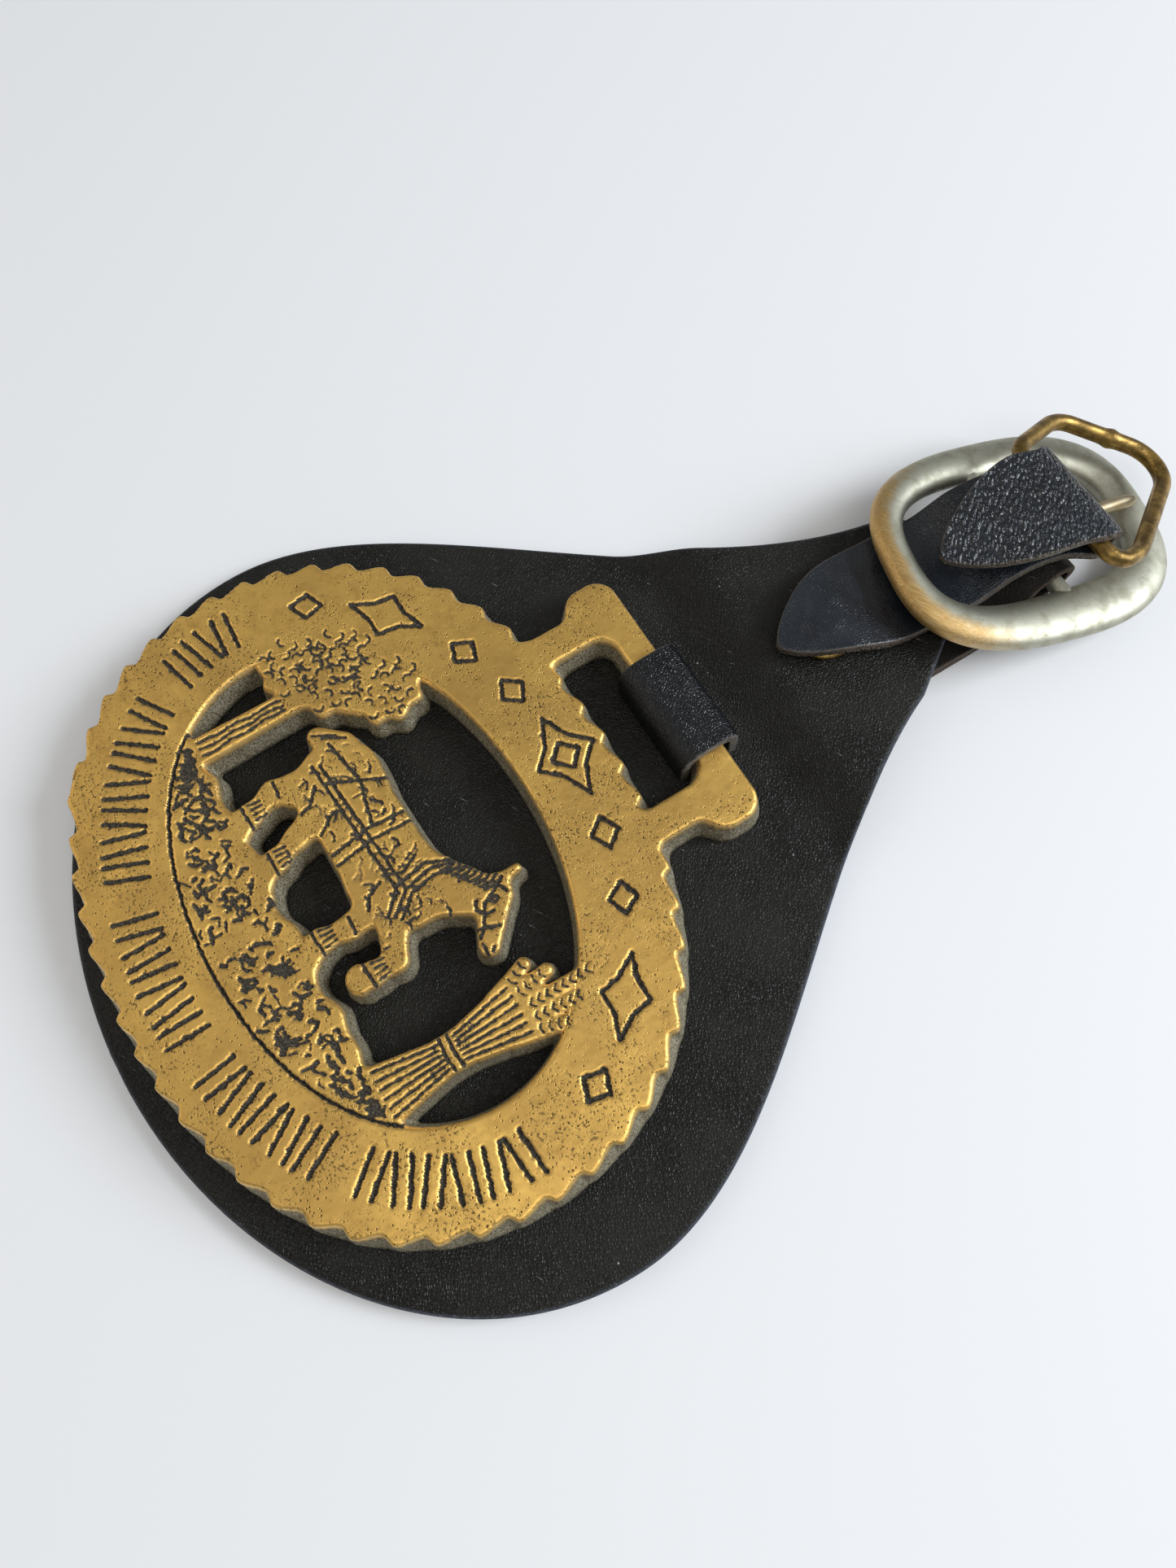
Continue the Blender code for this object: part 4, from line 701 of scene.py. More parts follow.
def sheaf_lines():
    """Straw fanning up and down from a double tie, and grains in pairs on the ears."""
    foot, waist, shoulder = SHEAF_RADII
    lines = []
    for lift in (-0.5, 0.5):
        x = np.linspace(-waist, waist, 5)
        y = SHEAF_WAIST + lift * MM - 0.2 * MM * np.cos(x / waist * 1.5)
        lines.append(fine(list(zip(SHEAF_X + x, y))))
    for share in np.linspace(-0.75, 0.75, 6):
        for away, radius, end in ((-MM, foot, GROUND), (MM, shoulder, SHEAF_SHOULDER)):
            straw = [(SHEAF_X + share * waist, SHEAF_WAIST + away), (SHEAF_X + share * radius, end)]
            lines.append(fine(straw, 0.8))
    for across, up in SHEAF_EARS:
        lean, tip = in_window(across, up)
        root = np.array([SHEAF_X + 0.7 * lean, SHEAF_SHOULDER + 0.5 * MM])
        run = np.array([SHEAF_X + lean, tip]) - root
        side = np.array([-run[1], run[0]]) / np.linalg.norm(run)
        for t in np.arange(0.1, 1.0, 1.0 * MM / np.linalg.norm(run)):
            for way in (-1, 1):
                start = root + t * run
                lines.append(fine([start, start + 0.5 * MM * way * side + 0.06 * run], 0.7, 0.8))
    return lines


def soil_lines():
    """Ticks and crumbs scattered over the ploughed ground, most of them leaning one way."""
    rng = np.random.default_rng(11)
    lines = []
    for k in range(SOIL_TICKS):
        x = rng.uniform(-0.93, 0.93) * WINDOW_HALF_WIDTH
        floor = -WINDOW_HALF_HEIGHT * np.sqrt(max(1 - (x / WINDOW_HALF_WIDTH)**2, 0))
        y = GROUND - 0.8 * MM - rng.uniform(0, 1) * max(GROUND - 1.6 * MM - floor, 0)
        if y < floor + 0.8 * MM:
            continue
        length = rng.uniform(0.4, 1.5) * MM
        heading = rng.normal(0.5 if k % 3 else 1.9, 0.5)
        run = length * np.array([np.cos(heading), np.sin(heading)])
        bend = rng.normal(0, 0.25) * np.array([-run[1], run[0]])
        spot = np.array([x, y])
        lines.append(fine([spot - run / 2, spot + bend, spot + run / 2], rng.uniform(0.7, 1.3),
                          rng.uniform(0.7, 1.1)))
    return lines


def arc_line():
    """The lower part of the window's oval, where the ground meets the ring."""
    first = np.arcsin((GROUND + 0.2 * MM) / WINDOW_HALF_HEIGHT)
    turn = np.linspace(-np.pi - first, first, 60)
    points = np.column_stack(walk_to(window_oval, WINDOW_HALF_WIDTH * np.cos(turn),
                                     WINDOW_HALF_HEIGHT * np.sin(turn)))
    return [(list(points), 0.9 * FINE_HALF_WIDTH, LINE_DEPTH)]


def engrave(x, y, lines, wobble):
    """Depth of the lines over the grid: round-bottomed channels with uneven sides."""
    depth = np.zeros_like(x)
    first_x, first_y = x[0, 0], y[0, 0]
    for points, half_width, line_depth in lines:
        for a, b in zip(points, points[1:]):
            low = np.minimum(a, b) - 2 * half_width
            high = np.maximum(a, b) + 2 * half_width
            i0, i1 = int((low[0] - first_x) / GRID), int((high[0] - first_x) / GRID) + 2
            j0, j1 = int((low[1] - first_y) / GRID), int((high[1] - first_y) / GRID) + 2
            part = (slice(max(i0, 0), i1), slice(max(j0, 0), j1))
            away = limb(x[part], y[part], a, b, 0.0, 0.0) / half_width
            channel = np.clip(1.3 * (1 - (away * (1 + wobble[part]))**2), 0, 1)
            depth[part] = np.maximum(depth[part], line_depth * channel)
    return depth


def cast_grid():
    """The face as a square grid of points, its border points walked onto the outline.

    Height is the face's level less the engraving and the rounding of its edge.
    """
    xs = np.arange(-BRASS_HALF_WIDTH - 2 * MM, BRASS_HALF_WIDTH + 2 * MM, GRID)
    ys = np.arange(-BRASS_HALF_HEIGHT - 2 * MM, LUG_TOP + 1 * MM, GRID)
    x, y = np.meshgrid(xs, ys, indexing="ij")
    middle_x, middle_y = x[:-1, :-1] + GRID / 2, y[:-1, :-1] + GRID / 2
    metal = plate(middle_x, middle_y) < 0
    metal[0] = metal[-1] = False
    metal[:, 0] = metal[:, -1] = False
    lone = metal[:-1, :-1] & metal[1:, 1:] & ~metal[1:, :-1] & ~metal[:-1, 1:]
    metal[1:, :-1] |= lone
    lone = ~metal[:-1, :-1] & ~metal[1:, 1:] & metal[1:, :-1] & metal[:-1, 1:]
    metal[:-1, :-1] |= lone
    scenic = metal & (window_oval(middle_x, middle_y) < 0)

    def corners(cells):
        count = np.zeros(x.shape, int)
        for di in (0, 1):
            for dj in (0, 1):
                count[di:count.shape[0] - 1 + di, dj:count.shape[1] - 1 + dj] += cells
        return count

    around, around_scene = corners(metal), corners(scenic)
    on_edge = (around > 0) & (around < 4)
    on_seam = (around == 4) & (around_scene > 0) & (around_scene < 4)
    depth = -plate(x, y)
    x[on_edge], y[on_edge] = walk_to(plate, x[on_edge], y[on_edge])
    depth[on_edge] = 0
    x[on_seam], y[on_seam] = walk_to(window_oval, x[on_seam], y[on_seam])
    return x, y, depth, metal, scenic, on_edge


grid_x, grid_y, grid_depth, metal, scenic, on_edge = cast_grid()
grid_flat = np.dstack([grid_x, grid_y])
wobble = swell(grid_flat, 0.9 * MM, 0.22, 21) + swell(grid_flat, 2.3 * MM, 0.12, 22)
all_lines = diamond_lines() + stroke_lines() + arc_line()
all_lines += horse_lines() + tree_lines() + sheaf_lines() + soil_lines()
engraved = engrave(grid_x, grid_y, all_lines, wobble)
hollows = np.minimum(swell(grid_flat, 9 * MM, 0.035 * MM, 23), 0)
face_height = (FACE_Z - rounded_by(np.maximum(grid_depth, 0), FACE_EDGE_RADIUS)
               - engraved * ease(grid_depth / (0.4 * MM)) + hollows
               + swell(grid_flat, 1.4 * MM, 0.006 * MM, 24))


def cast_piece(name, cells):
    """A closed casting: the face's cells, walls in rows that lean out, and a flat back.

    Each row of a wall is the outline at its own depth; the back is filled between them.
    """
    number = np.arange(grid_x.size).reshape(grid_x.shape)
    corner = [number[:-1, :-1], number[1:, :-1], number[1:, 1:], number[:-1, 1:]]
    face = np.stack([c[cells] for c in corner], axis=1)
    padded = np.pad(cells, 1)
    sides = []
    for k, (di, dj) in enumerate(((0, -1), (1, 0), (0, 1), (-1, 0))):
        beside = padded[1 + di:padded.shape[0] - 1 + di, 1 + dj:padded.shape[1] - 1 + dj]
        open_side = cells & ~beside
        sides.append(np.stack([corner[k][open_side], corner[(k + 1) % 4][open_side]], axis=1))
    sides = np.concatenate(sides)
    border = np.unique(sides)
    used = np.unique(face)
    renumber = np.zeros(grid_x.size, int)
    renumber[used] = np.arange(len(used))
    top = np.column_stack([grid_x.ravel()[used], grid_y.ravel()[used], face_height.ravel()[used]])
    leaning = on_edge.ravel()[border]
    x, y = grid_x.ravel()[border], grid_y.ravel()[border]
    z = face_height.ravel()[border]
    rows, marks = [], []
    for k in range(1, WALL_ROWS + 1):
        share = k / WALL_ROWS
        x, y = x.copy(), y.copy()
        x[leaning], y[leaning] = walk_to(lambda a, b: plate(a, b, share), x[leaning], y[leaning], 4)
        level = z + (PLATE_BACK_Z - z) * share
        rough = swell(np.column_stack([x, y, level]), 0.8 * MM, 0.05 * MM, 31) * leaning * (k < WALL_ROWS)
        rows.append(np.column_stack([x + rough, y - rough, level]))
        marks.append(np.full(len(x), min(1.0, 0.5 + share)))
    points = np.concatenate([top] + rows)
    place = np.zeros(grid_x.size, int)
    place[border] = np.arange(len(border))
    levels = [renumber[sides]] + [len(top) + k * len(border) + place[sides] for k in range(WALL_ROWS)]
    walls = [np.stack([above[:, 1], above[:, 0], below[:, 0], below[:, 1]], axis=1)
             for above, below in zip(levels, levels[1:])]
    quads = np.concatenate([renumber[face]] + walls)
    back = rows[-1][:, :2] / MM
    triangles = np.array(delaunay_2d_cdt(back.tolist(), place[sides].tolist(), [], 0, 1e-7)[2])
    middle = np.array([back[triangles[:, i] % len(back)] for i in range(3)]).mean(axis=0) * MM
    seam_side = -1.0 if cells is scenic else 1.0
    solid = plate(middle[:, 0], middle[:, 1], 1.0) < 0
    solid &= seam_side * window_oval(middle[:, 0], middle[:, 1]) > 0
    keep = triangles[solid & (triangles.max(axis=1) < len(back))]
    first = len(top) + (WALL_ROWS - 1) * len(border)
    faces = quads.tolist() + (first + keep[:, ::-1]).tolist()
    on_wall = np.concatenate([np.zeros(len(top))] + marks)
    on_wall[renumber[border]] = 0.25 * leaning
    sunk = np.concatenate([engraved.ravel()[used] / LINE_DEPTH, np.zeros(len(border) * WALL_ROWS)])
    return skin(name, points, faces, {"wall": on_wall, "sunk": sunk})


def old_brass(name):
    """Rubbed cast brass: mottled gold with a bright edge, specks and pits, rough dull walls.

    The sunk lines are filled with dark dirt.
    """
    finish = Finish(name, Specular_IOR_Level=0.5)
    sunk, wall = finish.mark("sunk"), finish.mark("wall")
    broad = finish.cloud(0.09, 3.0)
    mottle = finish.cloud(0.55, 6.0, 0.65)
    pits = finish.cells(1.9).between(0.26, 0.11) * finish.cloud(0.3, 3.0).between(0.43, 0.57)
    pepper = finish.cloud(2.8, 3.0, 0.65).between(0.54, 0.62) * finish.cloud(0.14, 4.0).between(0.42, 0.56)
    stain = finish.cloud(1.5, 5.0, 0.7).between(0.6, 0.72)
    sand = finish.cloud(4.5, 4.0, 0.7)
    gold = finish.mix(broad.between(0.35, 0.65), (0.90, 0.57, 0.155), (0.72, 0.445, 0.125))
    blemishes = ((mottle.between(0.42, 0.72) * 0.6, (0.54, 0.315, 0.085)),
                 (stain * 0.7, (0.17, 0.105, 0.035)),
                 (pepper * 0.8, (0.13, 0.086, 0.036)),
                 (pits * 0.9, (0.04, 0.028, 0.014)))
    for share, tint in blemishes:
        gold = finish.mix(share, gold, tint)
    cast = finish.mix(sand.between(0.40, 0.60), (0.15, 0.112, 0.055), (0.52, 0.48, 0.36))
    dirt = finish.mix(sand.between(0.42, 0.62), (0.010, 0.008, 0.005), (0.085, 0.070, 0.048))
    colour = finish.mix(wall.between(0.3, 0.75), gold, cast)
    rubbed = wall.between(0.05, 0.25) * (1.0 - wall.between(0.25, 0.5))
    colour = finish.mix(rubbed * 0.5, colour, (0.98, 0.80, 0.46))
    filled = sunk.between(0.12, 0.5)
    finish.feed("Base Color", finish.mix(filled, colour, dirt))
    finish.feed("Metallic", 1.0 - 0.9 * filled - 0.35 * wall)
    finish.feed("Roughness", 0.36 + 0.16 * mottle + 0.2 * wall + 0.3 * filled)
    grit = sand * (0.10 + 1.9 * wall + 1.2 * filled)
    finish.relief(mottle * 0.35 - pits * 0.9 - pepper * 0.4 + grit, 0.06)
    return finish


brass = old_brass("old_cast_brass")
ring_piece = cast_piece("brass_ring", metal & ~scenic)
dress(ring_piece, brass, "brass", "brass_plate")
scene_piece = cast_piece("brass_scene", scenic)
dress(scene_piece, brass, "brass")


# Hanging band: a short strip of soft black leather, passed over the bar of the lug and
# down through two slits of the backplate. It is drawn tight and has a shine.

BAND_HALF_WIDTH = 7.0 * MM
BAND_THICK = 1.3 * MM
BAND_MIDDLE = 1.9 * MM
BAND_EDGE_RADIUS = 0.3 * MM
BAND_DYE = (0.0030, 0.0036, 0.0046)
BAND_CUT_EDGE = (0.17, 0.155, 0.14)
CLEAR = 0.3 * MM
band_low, band_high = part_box("hanging_loop")


def read_at(stations, length, curve):
    """Points of a curve at given lengths along it."""
    return np.column_stack([np.interp(stations, length, curve[:, k]) for k in range(3)])


def curve_through(points, step):
    """Catmull-Rom curve through given points, read at an even step, and its lengths."""
    p = np.array(points, dtype=float)
    p = np.vstack([2 * p[0] - p[1], p, 2 * p[-1] - p[-2]])
    t = np.linspace(0, 1, 24, endpoint=False)[:, None]
    runs = [0.5 * (2 * b + (c - a) * t + (2 * a - 5 * b + 4 * c - d) * t**2 + (3 * b - a - 3 * c + d) * t**3)
            for a, b, c, d in zip(p, p[1:], p[2:], p[3:])]
    curve = np.vstack(runs + [p[-2:-1]])
    length = run_along(curve)
    stations = np.linspace(0, length[-1], int(length[-1] / step) + 1)
    return read_at(stations, length, curve), stations


def strip(name, path, half_width, thick, radius, cut_ends=True, across=41, seed=5):
    """A leather strip along a path: level across, rounded at its edges, a little uneven.

    The upper side is the left-hand side as the path climbs. The ends are cut edges too,
    unless they are out of sight.
    """
    tangent = np.gradient(path, axis=0)
    tangent[:, 0] = 0
    tangent /= np.linalg.norm(tangent, axis=1)[:, None]
    up = np.column_stack([np.zeros(len(path)), -tangent[:, 2], tangent[:, 1]])[:, None, :]
    u = np.sin(np.linspace(-np.pi / 2, np.pi / 2, across))[None, :]
    half = np.broadcast_to(half_width, len(path))[:, None]
    along = run_along(path)
    slope = np.gradient(half[:, 0], along)[:, None]
    inset = half * (1 - np.abs(u)) / np.sqrt(1 + slope**2)
    ends = np.minimum(along, along[-1] - along)[:, None]
    inset = np.minimum(inset, ends) if cut_ends else inset
    middle = path[:, None, :] + np.array([1.0, 0, 0]) * (half * u)[..., None]
    uneven = np.abs(swell(middle, 5 * MM, 0.05 * MM, seed))
    top = thick / 2 - rounded_by(inset, radius) - uneven
    bottom = -thick / 2 + rounded_by(inset, 0.5 * radius) + 0.5 * uneven
    pebbled = (np.zeros(inset.shape), np.ones(inset.shape))
    marks = {"cut": 1 - ease(inset / (0.8 * radius)), "pebbled": pebbled}
    return flat_piece(name, middle + up * top[..., None], middle + up * bottom[..., None], marks)


def band_path():
    """Up through the slot, over the bar in one drawn curve, and down behind it."""
    front = band_low.y - HANG[1] + BAND_THICK / 2
    back = band_high.y - HANG[1] - BAND_THICK / 2
    top = band_high.z - BAND_THICK / 2
    points = [(front, CLEAR), (front, 3.0 * MM), (front + 0.02 * MM, 5.6 * MM),
              (front + 0.5 * MM, top - 0.75 * MM), (front + 1.7 * MM, top - 0.12 * MM),
              ((front + back) / 2, top), (back - 1.4 * MM, top - 0.02 * MM),
              (back - 0.35 * MM, top - 0.65 * MM), (back, top - 1.9 * MM), (back, 3.0 * MM), (back, CLEAR)]
    return curve_through([(BAND_MIDDLE, y, z) for y, z in points], 0.16 * MM)[0]


band = strip("hanging_band", band_path(), BAND_HALF_WIDTH, BAND_THICK, BAND_EDGE_RADIUS, cut_ends=False)
soft_leather = black_leather("soft_grained_leather", BAND_DYE, 3.2, 0.07, BAND_CUT_EDGE,
                             gloss=(0.13, 0.25), dust=0.25, shine=0.36)
dress(band, soft_leather, "leather", "hanging_loop")


# Buckle: an oval frame of plated brass with a middle bar, and a wire tongue hooked over
# the bar. The plate is worn through to the brass on the side that rubs.

FRAME_HALF_WIDTH = 11.6 * MM
FRAME_HALF_LENGTH = 17.2 * MM
FRAME_SQUARENESS = 2.86
FRAME_LIMB_WIDTH = 5.2 * MM
FRAME_WIDER = (0.7 * MM, 0.6 * MM, 0.6 * MM)     # on the right, at the far end, at both sides
FRAME_LIMB_THICK = 3.2 * MM
FRAME_X = 5.3 * MM
FRAME_Y = NECK_END + 0.558 * FRAME_HALF_LENGTH
FRAME_TURN = np.radians(-11.2)
BAR_RADIUS = 1.1 * MM
BAR_ROOM = 0.6 * MM
TONGUE_RADIUS = 0.85 * MM
TONGUE_SHORT_OF = 0.6 * MM
STRAP_HALF_WIDTH = 6.9 * MM
STRAP_THICK = 1.4 * MM
NECK_TOP = NECK_LIFT + BACK_THICK
STRAP_ON_NECK = NECK_TOP + CLEAR + STRAP_THICK / 2
EDGE_SHARE = STRAP_HALF_WIDTH / FRAME_HALF_WIDTH
NEAR_LIFT = 0.45 * FRAME_HALF_LENGTH * (1 - (1 - EDGE_SHARE**FRAME_SQUARENESS)**(1 / FRAME_SQUARENESS))
FRAME_FAR_Z = FRAME_LIMB_THICK / 2 + CLEAR
FRAME_NEAR_Z = STRAP_ON_NECK + STRAP_THICK / 2 + CLEAR + FRAME_LIMB_THICK / 2 + NEAR_LIFT
FRAME_Z = (FRAME_FAR_Z + FRAME_NEAR_Z) / 2
FRAME_TILT = np.arcsin((FRAME_NEAR_Z - FRAME_FAR_Z) / (2 * FRAME_HALF_LENGTH))


def on_frame(points):
    """From the frame's own flat plane to its place: turned, tilted and lifted."""
    y = points[..., 1] * np.cos(FRAME_TILT) + points[..., 2] * np.sin(FRAME_TILT)
    z = -points[..., 1] * np.sin(FRAME_TILT) + points[..., 2] * np.cos(FRAME_TILT)
    x = points[..., 0]
    return np.stack([x * np.cos(FRAME_TURN) - y * np.sin(FRAME_TURN) + FRAME_X,
                     x * np.sin(FRAME_TURN) + y * np.cos(FRAME_TURN) + FRAME_Y, z + FRAME_Z], axis=-1)


def tube(path, radius, sides, closed=False):
    """Rings of points round a path, carried on without twist by turning one side vector."""
    ahead = np.roll(path, -1, axis=0) - np.roll(path, 1, axis=0) if closed else np.gradient(path, axis=0)
    tangent = ahead / np.linalg.norm(ahead, axis=1)[:, None]
    side = np.empty_like(path)
    start = np.array([1.0, 0, 0]) if abs(tangent[0, 0]) < 0.8 else np.array([0, 0, 1.0])
    for i, direction in enumerate(tangent):
        start = start - direction * (start @ direction)
        start = start / np.linalg.norm(start)
        side[i] = start
    other = np.cross(tangent, side)
    turn = np.arange(sides) * 2 * np.pi / sides
    size = np.broadcast_to(radius, len(path))[:, None, None]
    around = np.cos(turn)[:, None] * side[:, None] + np.sin(turn)[:, None] * other[:, None]
    return path[:, None] + size * around


def ringed(rings, first=0, closed=False):
    """Points and faces of a skin over rings, with a flat cap at each free end."""
    rows, columns = rings.shape[:2]
    faces = grid_faces(first, rows, columns, closed_rows=closed, closed_columns=True)[:, ::-1].tolist()
    if not closed:
        faces.append(list(range(first, first + columns)))
        faces.append(list(range(first + (rows - 1) * columns, first + rows * columns))[::-1])
    return rings.reshape(-1, 3), faces


def frame_rings(stations=260, sides=36):
    """A squarish oval path with a flattened round section that is wider at both sides.

    The path is a superellipse: the powers of x and y add up to one. The plate is marked
    worn along the outside of the near limb, fading out round both corners.
    """
    a = np.arange(stations)[:, None] * 2 * np.pi / stations
    b = np.arange(sides)[None, :] * 2 * np.pi / sides
    power = FRAME_SQUARENESS
    reach = (np.abs(np.cos(a))**power + np.abs(np.sin(a))**power)**(-1 / power)
    across, along = np.cos(a) * reach, np.sin(a) * reach
    out_x = np.sign(across) * np.abs(across)**(power - 1) / FRAME_HALF_WIDTH
    out_y = np.sign(along) * np.abs(along)**(power - 1) / FRAME_HALF_LENGTH
    size = np.hypot(out_x, out_y)
    right, far, sideways = FRAME_WIDER
    width = FRAME_LIMB_WIDTH + right * np.cos(a) + far * np.sin(a) + sideways * np.cos(2 * a)
    sink = width / 2 * np.sign(np.cos(b)) * np.abs(np.cos(b))**0.94
    up = FRAME_LIMB_THICK / 2 * np.sign(np.sin(b)) * np.abs(np.sin(b))**0.94
    points = np.stack([FRAME_HALF_WIDTH * across + out_x / size * sink,
                       FRAME_HALF_LENGTH * along + out_y / size * sink,
                       np.broadcast_to(up, sink.shape)], axis=-1)
    worn = ease((np.cos(a - np.radians(272)) - 0.1) / 0.9) * ease((np.cos(b - np.radians(15)) + 0.1) / 0.9)
    return on_frame(points), worn


def worn_nickel(name):
    """Thin nickel over brass: cream and satin, warm where worn, dull spots and fine scratches."""
    finish = Finish(name, Specular_IOR_Level=0.5, Metallic=1.0)
    worn = finish.mark("worn")
    patchy = finish.cloud(0.45, 5.0, 0.6)
    spots = finish.cells(1.3).between(0.12, 0.05) * finish.cloud(0.5, 2.0).between(0.5, 0.62)
    scratch = finish.cloud((0.4, 7.0, 7.0), 3.0, turn=(0, 0, 0.5))
    plated = finish.mix(patchy.between(0.4, 0.7), (0.47, 0.46, 0.375), (0.34, 0.325, 0.25))
    rubbed = finish.mix(scratch.between(0.4, 0.65), (0.50, 0.31, 0.11), (0.64, 0.45, 0.20))
    through = (worn + 0.5 * (patchy - 0.5)).between(0.15, 1.0)
    colour = finish.mix(through, plated, rubbed)
    finish.feed("Base Color", finish.mix(spots, colour, (0.10, 0.08, 0.05)))
    finish.feed("Roughness", 0.36 + 0.24 * patchy + 0.08 * scratch)
    finish.relief(scratch * 0.4 + patchy * 0.6 - spots, 0.03)
    return finish


nickel = worn_nickel("worn_nickel_plate")
rings, worn = frame_rings()
frame_points, frame_faces = ringed(rings, closed=True)
bar_x = np.linspace(-1, 1, 30) * (FRAME_HALF_WIDTH - 0.3 * MM)
bar_line = on_frame(np.column_stack([bar_x, -bar_x * np.tan(FRAME_TURN) / np.cos(FRAME_TILT), 0 * bar_x]))
bar_points, bar_faces = ringed(tube(bar_line, BAR_RADIUS, 24), first=len(frame_points))
buckle = skin("buckle_oval", np.concatenate([frame_points, bar_points]), frame_faces + bar_faces,
              {"worn": np.concatenate([worn.ravel(), np.zeros(len(bar_points))])})
dress(buckle, nickel, "nickel", "buckle_frame")


def tongue_path():
    """A hook round the middle bar, then a prong that eases up onto the far limb."""
    eye = BAR_RADIUS + CLEAR + TONGUE_RADIUS
    turn = np.radians(np.linspace(-30, -330, 40))
    hook = np.column_stack([np.zeros(40), eye * np.cos(turn), eye * np.sin(turn)])
    tip = np.array([FRAME_HALF_LENGTH - TONGUE_SHORT_OF, FRAME_LIMB_THICK / 2 + TONGUE_RADIUS + CLEAR])
    t = np.linspace(0, 1, 50)[1:]
    prong = np.column_stack([np.zeros(49), hook[-1, 1] + t * (tip[0] - hook[-1, 1]),
                             hook[-1, 2] + ease(t) * (tip[1] - hook[-1, 2])])
    return on_frame(np.concatenate([hook, prong]))


tongue_line = tongue_path()
taper = np.ones(len(tongue_line))
taper[-8:] = np.sqrt(1 - np.linspace(0, 0.96, 8)**2)
tongue = skin("buckle_tongue", *ringed(tube(tongue_line, TONGUE_RADIUS * taper, 20)),
              {"worn": np.full(len(tongue_line) * 20, 0.5)})
dress(tongue, nickel, "nickel", "tongue")


# Buckle strap: a thin strap folded round the middle bar, with both layers laid behind
# the neck of the backplate and riveted there. Its cut edges are brown and fibrous.

BUCKLE_STRAP_HALF_WIDTH = 7.3 * MM
BUCKLE_STRAP_X = 6.2 * MM
BUCKLE_STRAP_BAR_X = 5.4 * MM
BUCKLE_STRAP_THICK = 1.1 * MM
BUCKLE_STRAP_EDGE_RADIUS = 0.2 * MM
THIN_STRAP_DYE = (0.009, 0.0075, 0.0065)
THIN_STRAP_CUT_EDGE = (0.10, 0.07, 0.05)
RIVET_X = 3.0 * MM
RIVET_Y = NECK_END - 18.0 * MM
BUCKLE_STRAP_END = RIVET_Y - 5.0 * MM
LOWER_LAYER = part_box("buckle_strap")[0].z + BUCKLE_STRAP_THICK / 2
UPPER_LAYER = LOWER_LAYER + BUCKLE_STRAP_THICK + CLEAR
BUCKLE_STRAP_EYE = BAR_RADIUS + BAR_ROOM + BUCKLE_STRAP_THICK / 2


def buckle_strap_path():
    """Along the back of the neck, round the middle bar on an arc, and back below itself."""
    points = [(BUCKLE_STRAP_X, BUCKLE_STRAP_END, UPPER_LAYER),
              (BUCKLE_STRAP_X, NECK_END - 8 * MM, UPPER_LAYER),
              (BUCKLE_STRAP_X, NECK_END + 0.5 * MM, UPPER_LAYER)]
    lead = 2.5 * MM
    first = np.radians(124)
    points.append((BUCKLE_STRAP_BAR_X, FRAME_Y + BUCKLE_STRAP_EYE * np.cos(first) - lead * np.sin(first),
                   FRAME_Z + BUCKLE_STRAP_EYE * np.sin(first) + lead * np.cos(first)))
    points += [(BUCKLE_STRAP_BAR_X, FRAME_Y + BUCKLE_STRAP_EYE * np.cos(a),
                FRAME_Z + BUCKLE_STRAP_EYE * np.sin(a))
               for a in np.radians(np.arange(124, -80, -14))]
    points += [(BUCKLE_STRAP_BAR_X, NECK_END + 4.5 * MM, LOWER_LAYER + 0.9 * MM),
               (BUCKLE_STRAP_X, NECK_END + 1.0 * MM, LOWER_LAYER + 0.1 * MM),
               (BUCKLE_STRAP_X, NECK_END - 8 * MM, LOWER_LAYER),
              (BUCKLE_STRAP_X, BUCKLE_STRAP_END, LOWER_LAYER)]
    return curve_through(points, 0.3 * MM)[0]


raw_leather = black_leather("thin_strap_leather", THIN_STRAP_DYE, 2.4, 0.04, THIN_STRAP_CUT_EDGE, dust=0.3)
buckle_strap = strip("folded_strap", buckle_strap_path(), BUCKLE_STRAP_HALF_WIDTH, BUCKLE_STRAP_THICK,
                     BUCKLE_STRAP_EDGE_RADIUS)
dress(buckle_strap, raw_leather, "leather", "buckle_strap")


# Pointed strap: one piece of grained leather with both ends cut to a point. It lies on
# the neck, goes under the near limb and over the bar, and folds back round the wire.

STRAP_POINT = 15.0 * MM
STRAP_POINT_FULLNESS = 0.65
STRAP_FOLD_X = 6.8 * MM
STRAP_EDGE_RADIUS = 0.3 * MM
STRAP_DYE = (0.0055, 0.0075, 0.011)
STRAP_CUT_EDGE = (0.10, 0.075, 0.055)
WIRE_RADIUS = 1.1 * MM
WIRE_BAR_Y = FRAME_Y + 0.186 * FRAME_HALF_LENGTH
WIRE_EYE = WIRE_RADIUS + CLEAR + STRAP_THICK / 2
RIVET_HEAD_HEIGHT = 1.0 * MM
STRAP_ON_RIVET = NECK_TOP + RIVET_HEAD_HEIGHT + 2 * CLEAR + STRAP_THICK / 2
STRAP_OVER_BAR = FRAME_Z + BUCKLE_STRAP_EYE + BUCKLE_STRAP_THICK / 2 + 2 * CLEAR + STRAP_THICK / 2
WIRE_BAR_Z = STRAP_OVER_BAR + 0.5 * MM + WIRE_EYE


